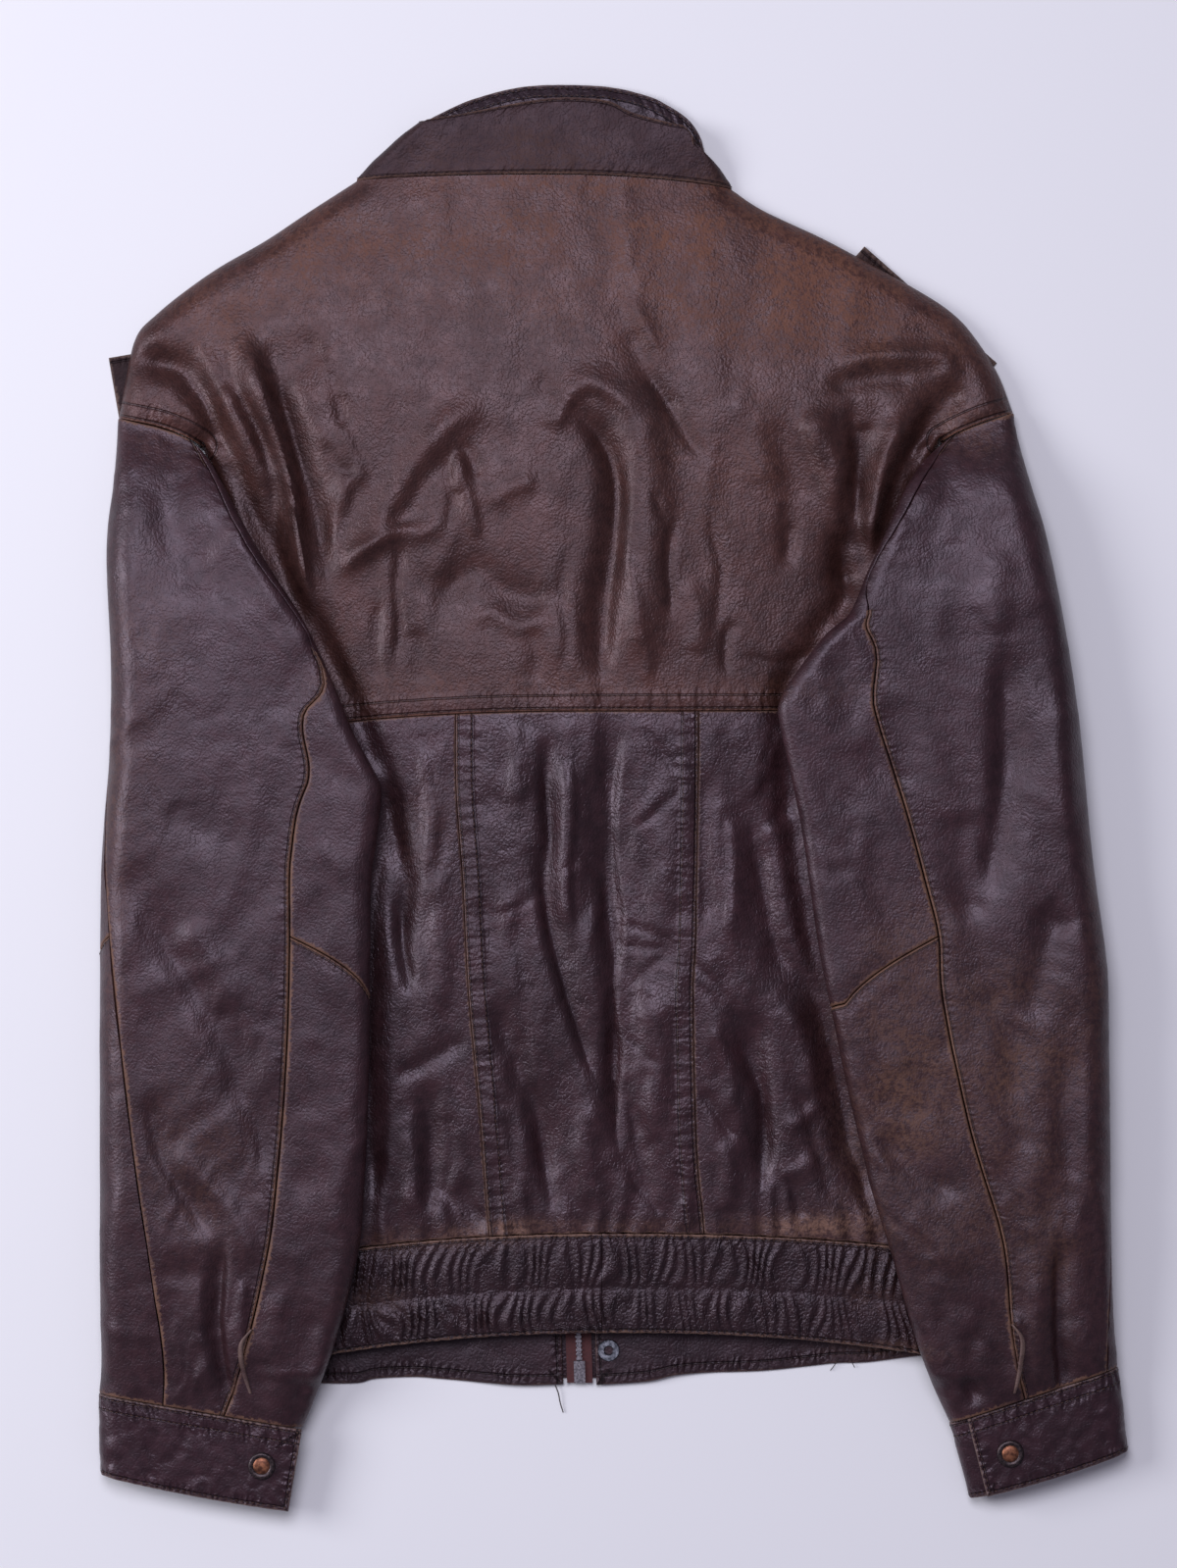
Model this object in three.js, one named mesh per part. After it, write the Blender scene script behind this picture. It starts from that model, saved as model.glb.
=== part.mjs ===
// A worn leather blouson, laid face down with its sleeves folded down at its sides.
// Millimetres, +Z up, +Y towards the collar. The origin is the middle of the footprint, on the floor.
// Left and right are the wearer's, so the left sleeve lies at -X.
import * as THREE from "three";

// Driving dimensions.
const wall = 1.6; // leather with its backing
const seamGap = 0.3; // between pieces that are sewn edge to edge
const armholeGap = 0.7; // the sleeve's head turns under, so it stands off a little more
const sideRound = 14; // how far in from the body's side edge its top is reached
const sleeveRound = 17; // the same on a sleeve
const drapeOff = 34; // how far beyond the body's side a sleeve comes down to the floor
const layerGap = 1.2; // between a sleeve and the back that it lies on
const floorLayer = 1.9; // how far the fronts lie up on the flap and on the shoulder straps
const liftMargin = 21; // how far past them they stay lifted
const liftFade = 30; // and over what width they come down
const hemRaise = 1.0; // the yoke's turned hem stands this much proud
const standHeight = 12.5; // of the collar stand near its upper edge
const lapRaise = 0.9; // and the centre panel's lapped edges this much
const lapWidth = 10;
const gatherDepth = 2.2;
const gathersPerChannel = 49;
const cuffWall = 2.2;

// The body's rows from the neck down: left end, right end and the middle's place along Y.
const bodyRows = [
  { left: [-148, 353], right: [68, 348], middle: 355.5 },
  { left: [-176, 335], right: [86, 336], middle: 343 },
  { left: [-200, 319], right: [120, 320], middle: 328 },
  { left: [-226, 304], right: [150, 304], middle: 312 },
  { left: [-246, 290], right: [175, 290], middle: 296 },
  { left: [-262, 277], right: [192, 279], middle: 281 },
  { left: [-274, 264], right: [205, 266], middle: 266 },
  { left: [-280, 240], right: [220, 243], middle: 246 },
  { left: [-284, 217], right: [229, 220], middle: 228 },
  { left: [-276, 215], right: [223, 218], middle: 217 },
  { left: [-262, 212], right: [212, 214.5], middle: 207 },
  { left: [-252, 208.8], right: [204, 211.4], middle: 197 },
  { left: [-244, 205.3], right: [196, 208], middle: 186 },
  { left: [-236, 200.5], right: [188, 203.5], middle: 172 },
  { left: [-226, 170], right: [177, 176], middle: 152 },
  { left: [-219, 135], right: [170, 142], middle: 126 },
  { left: [-217, 100], right: [176, 106], middle: 98 },
  { left: [-217, 66], right: [184, 74], middle: 72 },
  { left: [-216, 44], right: [187, 59], middle: 57.5 },
  { left: [-215, 35], right: [188, 50], middle: 48.5 },
  { left: [-213, 8], right: [188.5, 20], middle: 18 },
  { left: [-212, -24], right: [189, -14], middle: -16 },
  { left: [-210, -60], right: [191, -50], middle: -52 },
  { left: [-208, -96], right: [193, -86], middle: -88 },
  { left: [-206, -132], right: [195, -122], middle: -124 },
  { left: [-204, -168], right: [197, -158], middle: -160 },
  { left: [-202, -203], right: [199, -193], middle: -194 },
  { left: [-199, -238], right: [200, -230], middle: -226 },
  { left: [-197, -266], right: [201, -262], middle: -249.5 },
  { left: [-196, -278], right: [201, -272], middle: -260 },
  { left: [-195, -290], right: [201, -284], middle: -271 },
  { left: [-194, -300], right: [201, -294], middle: -281 },
  { left: [-193, -308], right: [201, -304], middle: -290 },
  { left: [-192, -317], right: [201, -314], middle: -299 },
  { left: [-191, -325], right: [201, -324], middle: -307 },
];
const yokeRows = [0, 19];
const panelRows = [19, 28];
const bandRows = [28, 34];

// The seams between the three lower panels, from the yoke's hem to the waist.
const leftPanelSeam = [[-90, 60], [-90, 7], [-86, -49], [-83, -110], [-77, -175], [-73, -227],
  [-69, -270]];
const rightPanelSeam = [[48, 60], [48, 7], [46.5, -79], [45, -117], [47, -201], [51, -244], [52, -270]];
const centreBack = -7;

// How high the back lies: along its middle and near its sides, from the neck to the hem.
const middleHeight = [[370, 13], [353, 14], [300, 20], [230, 26], [100, 29], [0, 28], [-120, 27],
  [-210, 22], [-262, 18], [-320, 15]];
const sideHeight = [[370, 7], [353, 8], [300, 10], [230, 15], [160, 15], [60, 13], [-120, 13],
  [-320, 12]];

// The largest folds: a path, how high (or deep) it is and how wide.
const bodyFolds = [
  { path: [[-285, 252], [-250, 245], [-241, 236], [-232, 222], [-227, 206],
    [-222, 189]], rise: -8, width: 9 },
  { path: [[-217, 268], [-204, 234], [-188, 192], [-179, 150], [-174, 114],
    [-173, 96]], rise: 8, width: 8 },
  { path: [[-225, 238], [-205, 200], [-192, 172]], rise: 5, width: 8 },
  { path: [[-194, 244], [-183, 206], [-172, 165], [-166, 125]], rise: -6, width: 8 },
  { path: [[-157, 124], [-127, 164], [-104, 200], [-87, 217], [-68, 216]], rise: 4, width: 9 },
  { path: [[-128, 150], [-110, 180], [-92, 198]], rise: -3, width: 8 },
  { path: [[-26, 222], [-6, 204], [0, 180], [-3, 141], [-9, 96], [-6, 58]], rise: -6, width: 8 },
  { path: [[6, 236], [16, 203], [21, 170], [18, 128], [17, 68]], rise: 4, width: 12 },
  { path: [[109, 225], [118, 206], [127, 188], [133, 164], [137, 142]], rise: 6, width: 9 },
  { path: [[143, 190], [132, 140], [131, 112]], rise: -8, width: 9 },
  { path: [[167, 221], [156, 192], [148, 170], [146, 140]], rise: 6, width: 8 },
  { path: [[196, 240], [183, 215], [176, 203], [166, 184]], rise: -7, width: 9 },
  { path: [[-3, 58], [-2, 22], [-1, -16], [-2, -53], [3, -115], [1, -158], [8, -205],
    [22, -236]], rise: -7, width: 9 },
  { path: [[-41, 36], [-37, -23], [-41, -46], [-26, -111], [-8, -172]], rise: -4, width: 7 },
  { path: [[-71, -111], [-54, -156], [-43, -189], [-34, -228]], rise: -4, width: 8 },
  { path: [[75, -120], [82, -161], [83, -195], [80, -226]], rise: -5, width: 8 },
  { path: [[70, 20], [83, -44], [92, -83], [109, -111], [123, -150], [134, -200],
    [148, -240]], rise: -5, width: 10 },
  { path: [[-127, 10], [-121, -49], [-116, -95]], rise: -4, width: 9 },
  { path: [[-104, -160], [-104, -217], [-101, -240]], rise: -3, width: 8 },
];

// Each sleeve: its outer edge and its inner fold from the head down, the heights of its rows at
// those two edges, its seams as the share of the flat width from the outer edge, and its folds.
const sleeves = {
  left: {
    side: -1,
    outer: [[-284, 217], [-284.5, 200], [-286, 177], [-289, 155], [-289.5, 129], [-287, 74], [-288, 23],
      [-291, -15], [-293, -59], [-293.5, -280], [-293, -322], [-294.5, -341]],
    inner: [[-236, 200.5], [-229, 188], [-222, 176], [-208, 150], [-192, 124], [-176, 99], [-160, 65],
      [-148, 36], [-135, 12], [-132, 2], [-135, -27], [-138, -55], [-139, -150], [-143, -240],
      [-149, -275], [-160, -315], [-173, -349], [-178, -361]],
    head: [[-284, 217], [-276, 215], [-262, 212], [-252, 208.8], [-244, 205.3], [-236, 200.5]],
    rows: [[217, 200.5], [206, 184], [187, 165], [163, 145], [137, 124], [110, 100], [80, 73], [50, 45],
      [20, 17], [-10, -12], [-44, -47], [-79.5, -80], [-115, -116], [-150, -152], [-185, -188],
      [-220, -224], [-252, -258], [-282, -290], [-305, -316], [-324, -339], [-341, -361]],
    elbowRow: 11,
    backSeam: [[0, 0.9], [3, 0.93], [6, 0.985], [7, 0.82], [8, 0.765], [9, 0.7], [11, 0.705],
      [13, 0.695], [15, 0.67], [17, 0.645], [20, 0.62]],
    frontSeam: [[0, -0.1], [5, -0.06], [8, -0.004], [10, 0.02], [12, 0.065], [15, 0.15], [18, 0.265],
      [20, 0.32]],
    folds: [
      { path: [[-280, -40], [-253, -84], [-234, -113], [-217, -147], [-205, -178], [-188, -211],
        [-165, -218]], rise: -5, width: 9 },
      { path: [[-246, -70], [-227, -99], [-215, -124]], rise: 3, width: 9 },
      { path: [[-221, -250], [-225, -293], [-222, -325], [-217, -351]], rise: -5, width: 6 },
      { path: [[-172, -290], [-176, -322], [-181, -356]], rise: -4, width: 6 },
      { path: [[-265, -165], [-260, -195], [-240, -232], [-226, -252]], rise: -3, width: 8 },
      { path: [[-262, 190], [-250, 150], [-228, 110]], rise: -3, width: 12 },
    ],
    cuff: { top: [[-294.5, -341.4], [-178, -361.4]], bottom: [[-294, -388],
      [-186, -408.5]], bow: -1.5, start: 0.62, fold: 0.96, end: 1, heights: [22, 19] },
    snap: [-201, -382],
    strap: { from: [-286, 228], to: [-182, 246], width: 48 },
    slit: [[-206, -303], [-212, -312], [-211, -326], [-207, -340]],
  },
  right: {
    side: 1,
    outer: [[229, 220], [230, 209], [237, 182], [247.5, 146], [258, 93], [266, 38], [273, -34],
      [280, -85], [282, -110], [283, -183], [284.5, -280], [288, -326]],
    inner: [[188, 203.5], [180, 196], [167, 177], [156, 153], [145, 130], [134, 104], [121, 93],
      [101, 67], [94, 54], [93, 48], [95, 35], [101, 9.5], [108, -28], [116, -85], [126, -134],
      [132, -163], [146, -222], [157, -258], [171, -307], [181, -334], [192, -358]],
    head: [[229, 220], [223, 218], [212, 214.5], [204, 211.4], [196, 208], [188, 203.5]],
    rows: [[220, 203.5], [208, 190], [191, 174], [168, 152], [142, 128], [114, 102], [84, 74], [53, 45],
      [20, 14], [-12, -18], [-44, -50], [-75, -83], [-110, -120], [-145, -157], [-180, -194],
      [-214, -230], [-246, -264], [-274, -295], [-296, -320], [-313, -340], [-326, -358]],
    elbowRow: 11,
    backSeam: [[0, 0.8], [2, 0.88], [4, 0.985], [5, 0.9], [6, 0.72], [8, 0.655], [10, 0.6], [11, 0.58],
      [12, 0.6], [14, 0.565], [16, 0.5], [18, 0.535], [20, 0.56]],
    frontSeam: [[0, -0.1], [8, -0.08], [13, -0.03], [15, -0.003], [17, 0.01], [20, 0.07]],
    folds: [
      { path: [[223, 90], [221, 53], [222, 18], [216, -25], [210, -60]], rise: -5, width: 9 },
      { path: [[196, -5], [200, -40], [203, -75]], rise: -3, width: 12 },
      { path: [[250, -60], [243, -95], [232, -130]], rise: -3, width: 10 },
      { path: [[253, -250], [252, -290], [254, -325], [255, -345]], rise: -5, width: 6 },
      { path: [[204, -300], [202, -325], [206, -350]], rise: -5, width: 6 },
      { path: [[150, -190], [172, -214], [196, -225]], rise: -3, width: 9 },
    ],
    cuff: { top: [[288.3, -326.3], [191.9, -358.4]], bottom: [[294.5, -374.5],
      [204, -402]], bow: -2, start: 0.6, fold: 1, end: 0.9, heights: [22, 19] },
    snap: [226, -375],
    strap: { from: [206, 233], to: [130, 300], width: 42 },
    slit: [[226, -300], [232, -309], [231, -325], [228, -340]],
  },
};
const sleeveHeight = [[0, 24], [2, 31], [5, 37], [11, 38], [16, 35], [18, 31], [20, 24]];
const elbowDrop = [[0, 0], [0.22, 0.95], [0.5, 1.1], [0.8, 0.6],
  [1, 0]]; // in rows, across the under panel

// Front: the centre line with its zip, and the neckline's half width at each row.
const frontCentre = { hem: [-19.5, -337], neck: [-38, 270] };
const neckHalfWidth = [104, 96, 86, 76, 62, 42, 7.4];
const hemEdge = {
  left: [[-188, -337], [-147, -337], [-115, -333.5], [-71, -337], [-29, -337.5]],
  right: [[-10, -338], [19, -336], [54, -331], [114, -327], [174, -321.5], [193, -321]],
};
const zip = {
  gap: 15.6, tape: 6, tapeWall: 0.8, tapeZ: 2.8, chain: 2.3, chainWall: 1.5, foot: -336.6, head: 296,
};
const flap = { left: 20, right: 30, foot: -334, head: 300 };
const hemSnap = { place: [-3, -318], outer: 6.4, inner: 2.3, height: 1.1 };
const cuffSnap = { radius: 7.75, height: 1.9 };

// Collar: the stand's upper edge, and the dark turned edge that shows behind it.
const standTop = [[-110, 387], [-85, 391], [-48, 398], [-26, 400], [-3, 398], [10, 391.5], [32, 385.5],
  [41, 383], [47, 372]];
const edgeOuter = [[-111, 386], [-93, 395], [-81, 400], [-59, 406], [-37, 408.2], [-4, 407.2], [19, 402],
  [30, 397], [42, 389], [49, 379.5], [52, 370]];
const edgeInner = [[-98, 376], [-84, 381], [-72, 385], [-55, 389], [-36, 391], [-6, 390], [10, 386],
  [20, 381], [30, 374], [36, 367], [38, 361]];
const frontCollarTop = {
  left: [[-38, 312], [-50, 318], [-78, 338], [-98, 362], [-112, 380]],
  right: [[-38, 312], [-14, 317], [14, 330], [34, 352], [44, 367]],
};

const leather = {
  yoke: 0x4a3027, body: 0x38211f, sleeve: 0x3a2224, collar: 0x463029, edge: 0x2b1d20, front: 0x35201f,
};

// Small maths.
const clamp01 = (t) => Math.min(1, Math.max(0, t));
const lerp = (a, b, t) => a + (b - a) * t;
const smooth = (t) => clamp01(t) ** 2 * (3 - 2 * clamp01(t));
const rise = (t) => Math.sqrt(1 - (1 - clamp01(t)) ** 2); // a quarter ellipse
const softMax = (a, b, k) => Math.max(a, b) + (Math.max(0, k - Math.abs(a - b)) ** 2) / (4 * k);

// The value at a key of a list of [key, value], with keys in either order.
function at(list, key) {
  const up = list[list.length - 1][0] > list[0][0];
  const past = (k) => (up ? key <= k : key >= k);
  const i = Math.max(1, list.findIndex(([k]) => past(k)));
  const last = past(list[0][0]) || past(list[list.length - 1][0]) ? i : list.length - 1;
  const [[k0, v0], [k1, v1]] = [list[last - 1], list[last]];
  return lerp(v0, v1, clamp01((key - k0) / (k1 - k0)));
}
const xAt = (path, y) => at(path.map(([px, py]) => [py, px]), y);

// The point at share t of a path's length.
function along(path, t) {
  const lengths = path.slice(1).map(([x, y], i) => Math.hypot(x - path[i][0], y - path[i][1]));
  let left = clamp01(t) * lengths.reduce((a, b) => a + b, 0);
  for (let i = 0; i < lengths.length; i++) {
    if (left <= lengths[i] || i === lengths.length - 1) {
      const s = left / lengths[i];
      return [lerp(path[i][0], path[i + 1][0], s), lerp(path[i][1], path[i + 1][1], s)];
    }
    left -= lengths[i];
  }
}

// How near a place is to a path, and the share of the path's length where it is nearest.
function nearest(path, x, y) {
  let best = { distance: Infinity, share: 0 };
  let before = 0;
  for (let i = 1; i < path.length; i++) {
    const [ax, ay] = path[i - 1];
    const dx = path[i][0] - ax;
    const dy = path[i][1] - ay;
    const length = Math.hypot(dx, dy);
    const t = clamp01(((x - ax) * dx + (y - ay) * dy) / length ** 2);
    const distance = Math.hypot(x - ax - t * dx, y - ay - t * dy);
    if (distance < best.distance) best = { distance, share: before + t * length };
    before += length;
  }
  return { distance: best.distance, share: best.share / before };
}

// What a list of folds adds at a place. Each fades out at its ends.
function foldHeight(folds, x, y) {
  let sum = 0;
  for (const { path, rise: height, width } of folds) {
    const { distance, share } = nearest(path, x, y);
    const fade = smooth(share / 0.2) * smooth((1 - share) / 0.2);
    sum += height * Math.exp(-((distance / width) ** 2)) * (0.15 + 0.85 * fade);
  }
  return sum;
}

// The body.
function bodyRow(r) {
  const i = Math.min(bodyRows.length - 2, Math.max(0, Math.floor(r)));
  const [a, b, t] = [bodyRows[i], bodyRows[i + 1], r - i];
  const mix = (p, q) => [lerp(p[0], q[0], t), lerp(p[1], q[1], t)];
  return {
    left: mix(a.left, b.left),
    right: mix(a.right, b.right),
    middle: lerp(a.middle, b.middle, t),
  };
}

function rowY(row, x) {
  const centre = (row.left[0] + row.right[0]) / 2;
  const u = (x - centre) / (row.right[0] - centre);
  const end = u < 0 ? row.left[1] : row.right[1];
  return row.middle + (end - row.middle) * Math.abs(u) ** 2.2;
}

// How far what lies on the floor is lifted by the flap or a shoulder strap under it.
function floorLift(x, y) {
  let lift = 0;
  for (const { strap } of Object.values(sleeves)) {
    const { distance } = nearest([strap.from, strap.to], x, y);
    lift = Math.max(lift, 1 - smooth((distance - strap.width * 0.58 - liftMargin) / liftFade));
  }
  const centre = centreX(y);
  const beside = Math.max(centre - flap.left - x, x - centre - flap.right);
  const off = Math.max(beside, flap.foot - 6 - y, y - flap.head - 6);
  lift = Math.max(lift, 1 - smooth((off - liftMargin) / liftFade));
  return floorLayer * lift;
}
function centreX(y) {
  const { hem, neck } = frontCentre;
  return lerp(hem[0], neck[0], (y - hem[1]) / (neck[1] - hem[1]));
}

function backHeight(x, y, left, right) {
  const a = clamp01(Math.abs(2 * (x - left) / (right - left) - 1));
  const [low, high] = [at(sideHeight, y), at(middleHeight, y)];
  const edge = smooth(Math.min(x - left, right - x) / 22);
  const height = low + (high - low) * (1 - a * a) + foldHeight(bodyFolds, x, y) * lerp(0.35, 1, edge);
  return Math.max(6, height);
}

// Where the back comes down to the floor: over the shoulders, and at the sides below the armholes.
// Along the armholes between them it stays up, sewn to the sleeves.
const shoulderRows = bodyRows.slice(0, 9);
const sideRows = bodyRows.slice(13);
const floorEdges = [shoulderRows, sideRows].flatMap((rows) => {
  return [rows.map((row) => row.left), rows.map((row) => row.right)];
});

// A point of the back's outer side, in a row and at an x.
function backPoint(r, x, raise = 0) {
  const row = bodyRow(r);
  const y = rowY(row, x);
  const inward = Math.min(...floorEdges.map((path) => nearest(path, x, y).distance));
  const up = rise(inward / sideRound);
  const crown = backHeight(x, y, row.left[0], row.right[0]) + raise;
  return new THREE.Vector3(x, y, floorLift(x, y) * (1 - up) + crown * up);
}

// The back's height at any place of the plan, for what lies on it. It is 0 outside.
const bodyFoot = -328;
const bodySideLeft = sideRows.map((row) => row.left);
const bodySideRight = sideRows.map((row) => row.right);
function backTop(x, y) {
  const [left, right] = [xAt(bodySideLeft, y), xAt(bodySideRight, y)];
  const inward = Math.min(x - left, right - x);
  const headEnd = x < 0 ? bodySideLeft[0][1] : bodySideRight[0][1];
  const within = smooth((headEnd - y) / 10) * (1 - smooth((bodyFoot - y) / 12));
  const height = (backHeight(Math.min(right, Math.max(left, x)), y, left, right) + gatherDepth) * within;
  return height * smooth((inward + drapeOff) / (drapeOff + 1));
}

// A closed wall between a grid of outer points and the same points moved in along their normals.
function wallGeometry(outer, normals, thickness, bed = () => 0) {
  const [rows, columns] = [outer.length, outer[0].length];
  const positions = [];
  const push = (p) => positions.push(p.x, p.y, p.z);
  outer.flat().forEach(push);
  outer.forEach((row, i) =>
    row.forEach((p, j) => {
      const inner = p.clone().addScaledVector(normals[i][j], -thickness);
      inner.z = Math.max(inner.z, bed(inner.x, inner.y));
      push(inner);
    }),
  );
  const a = (i, j) => i * columns + j;
  const b = (i, j) => rows * columns + a(i, j);
  const faces = [];
  const quad = (p, q, r, s) => faces.push(p, q, r, p, r, s);
  for (let i = 0; i < rows - 1; i++)
    for (let j = 0; j < columns - 1; j++) {
      quad(a(i, j), a(i + 1, j), a(i + 1, j + 1), a(i, j + 1));
      quad(b(i, j), b(i, j + 1), b(i + 1, j + 1), b(i + 1, j));
    }
  for (let i = 0; i < rows - 1; i++) {
    quad(a(i, 0), b(i, 0), b(i + 1, 0), a(i + 1, 0));
    quad(a(i, columns - 1), a(i + 1, columns - 1), b(i + 1, columns - 1), b(i, columns - 1));
  }
  for (let j = 0; j < columns - 1; j++) {
    quad(a(0, j), a(0, j + 1), b(0, j + 1), b(0, j));
    quad(a(rows - 1, j), b(rows - 1, j), b(rows - 1, j + 1), a(rows - 1, j + 1));
  }
  const geometry = new THREE.BufferGeometry();
  geometry.setAttribute("position", new THREE.Float32BufferAttribute(positions, 3));
  geometry.setIndex(faces);
  geometry.computeVertexNormals();
  return geometry;
}

// The wall of a surface over rows and columns. surface(r, c) gives a point, and its outer side is
// on the left of c and ahead of r, so that rows run away from the collar and columns to +X.
function surfaceWall(surface, rows, columns, thickness = wall, bed = () => 0) {
  const step = 1e-3;
  const [lowR, highR] = [Math.min(...rows), Math.max(...rows)];
  const [lowC, highC] = [Math.min(...columns), Math.max(...columns)];
  const outer = rows.map((r) => columns.map((c) => surface(r, c)));
  const normals = rows.map((r) =>
    columns.map((c) => {
      const down = surface(Math.min(highR, r + 0.3), c).sub(surface(Math.max(lowR, r - 0.3), c));
      const across = surface(r, Math.min(highC, c + step)).sub(surface(r, Math.max(lowC, c - step)));
      return down.cross(across).normalize();
    }),
  );
  return wallGeometry(outer, normals, thickness, bed);
}

const group = new THREE.Group();
function add(name, geometry, color, roughness = 0.6, metalness = 0) {
  const mesh = new THREE.Mesh(geometry, new THREE.MeshStandardMaterial({ color, roughness, metalness }));
  mesh.name = name;
  group.add(mesh);
}

const steps = (from, to, count) => Array.from({ length: count + 1 }, (_, i) => lerp(from, to, i / count));
// Shares of a width that crowd where a side edge rounds down to the floor.
const roundShares = [0, 30, 60, 90].map((degrees) => 1 - Math.cos((degrees * Math.PI) / 180));

// A piece of the back from one side to another. Each side is a path in plan, or null for the body's edge.
function backPiece(rows, leftSide, rightSide, inner, raise = () => 0) {
  const ends = (r) => {
    const row = bodyRow(r);
    const left = leftSide ? leftSide(row.middle) + seamGap / 2 : row.left[0];
    const right = rightSide ? rightSide(row.middle) - seamGap / 2 : row.right[0];
    return [left, right];
  };
  const leftCount = leftSide ? 0 : 3;
  const rightCount = rightSide ? 0 : 3;
  const surface = (r, c) => {
    const [left, right] = ends(r);
    const from = left + (leftSide ? 0 : sideRound);
    const to = right - (rightSide ? 0 : sideRound);
    let x = lerp(from, to, clamp01(c));
    if (c < 0) x = left + sideRound * (1 - Math.cos(((c + 1) * Math.PI) / 2));
    if (c > 1) x = right - sideRound * (1 - Math.cos(((2 - c) * Math.PI) / 2));
    return backPoint(r, x, raise(r, x, left, right));
  };
  const columns = [
    ...(leftCount ? [-1, -2 / 3, -1 / 3] : []),
    ...steps(0, 1, inner),
    ...(rightCount ? [4 / 3, 5 / 3, 2] : []),
  ];
  return surfaceWall(surface, rows, columns, wall, floorLift);
}

const rowList = ([from, to], gapFrom, gapTo) => {
  const list = steps(from, to, to - from);
  list[0] += gapFrom;
  list[list.length - 1] -= gapTo;
  return list;
};
const gapRows = (r, gap) => gap / Math.abs(bodyRow(r + 0.01).middle - bodyRow(r + 0.99).middle);

function addBack() {
  const hemRaised = (r) => hemRaise * smooth((r - (yokeRows[1] - 1) + 0.12) / 0.1);
  const yoke = rowList(yokeRows, 0, gapRows(18, seamGap / 2));
  yoke.splice(yoke.length - 1, 0, yokeRows[1] - 1 + 0.05);
  add("back_yoke", backPiece(yoke, null, null, 21, hemRaised), leather.yoke, 0.7);

  const seams = [null, (y) => xAt(leftPanelSeam, y), (y) => xAt(rightPanelSeam, y), null];
  const lap = (r, x, left, right) => {
    return lapRaise * smooth((lapWidth + 0.5 - Math.min(x - left, right - x)) / 1.5);
  };
  const rows = rowList(panelRows, gapRows(19, seamGap / 2), gapRows(27, seamGap / 2));
  add("back_left_panel", backPiece(rows, null, seams[1], 7), leather.body);
  add("back_centre_panel", backPiece(rows, seams[1], seams[2], 13, lap), leather.body);
  add("back_right_panel", backPiece(rows, seams[2], null, 8), leather.body);
}

// The elastic waistband: two channels of gathers, flat at its edges and at its middle seam.
function addWaistband() {
  const middle = (bandRows[0] + bandRows[1]) / 2;
  const halves = [
    { name: "waistband_left", sides: [null, () => centreBack], share: 0.45 },
    { name: "waistband_right", sides: [() => centreBack, null], share: 0.55 },
  ];
  for (const { name, sides, share } of halves) {
    const count = 2 * Math.round(gathersPerChannel * share);
    const gather = (r, x, left, right) => {
      const from = left + (sides[0] ? 0 : sideRound);
      const to = right - (sides[1] ? 0 : sideRound);
      const across = ((x - from) / (to - from)) * (count / 2);
      const channel = r < middle ? (r - bandRows[0]) / 3 : (r - middle) / 3;
      const wave = Math.cos(2 * Math.PI * across);
      return gatherDepth * 0.5 * (1 + wave) * Math.sin(Math.PI * clamp01(channel)) ** 0.7;
    };
    const rows = rowList(bandRows, gapRows(28, seamGap / 2), 0);
    add(name, backPiece(rows, sides[0], sides[1], count, gather), leather.body, 0.55);
  }
}

// A flat sheet on the floor over rows of the body, from xFrom(r) to xTo(r).
function flatSheet(rows, columns, plan, thickness, z) {
  const surface = (r, c) => {
    const [x, y] = plan(r, c);
    return new THREE.Vector3(x, y, z(x, y) + thickness);
  };
  const up = new THREE.Vector3(0, 0, 1);
  const outer = rows.map((r) => columns.map((c) => surface(r, c)));
  return wallGeometry(outer, outer.map((row) => row.map(() => up)), thickness);
}

function addFronts() {
  const inset = (r) => lerp(8, 3.4, smooth((r - 4) / 4)) + 2.5 * smooth(1 - Math.abs(r - 13));
  const lastRow = 28.6;
  for (const [name, side] of [["front_left", -1], ["front_right", 1]]) {
    const plan = (r, c) => {
      const row = bodyRow(r);
      const neck = at(neckHalfWidth.map((half, i) => [i, half]), r);
      const inner = centreX(row.middle) + side * Math.max(zip.gap / 2, r < 6 ? neck : 0);
      const outer = side < 0 ? row.left[0] + inset(r) : row.right[0] - inset(r);
      const x = lerp(side < 0 ? outer : inner, side < 0 ? inner : outer, c);
      const armhole = smooth(2.5 - Math.abs(r - 10.6)) * (side < 0 ? 1 - c : c);
      return [x, rowY(row, x) + 1.5 * armhole];
    };
    const rows = [0.5, 1, 2, 3, 4, 5, 6, 7, 8, 10, 12, 13, 14, 15, 16, 17, 18, 20, 22, 24, 26, lastRow];
    add(name, flatSheet(rows, steps(0, 1, 10), plan, wall, floorLift), leather.front);
  }
}

function addFrontHems() {
  for (const side of ["left", "right"]) {
    const edge = hemEdge[side];
    const plan = (r, c) => {
      const [x, low] = along(edge, c);
      const y = lerp(rowY(bodyRow(28.6), x) - 0.6, low, r);
      return [x + centreX(y) - centreX(frontCentre.hem[1]), y];
    };
    const geometry = flatSheet([0, 0.5, 1], steps(0, 1, 12), plan, wall, floorLift);
    add("hem_front_" + side, geometry, leather.front, 0.5);
  }
}

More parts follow.
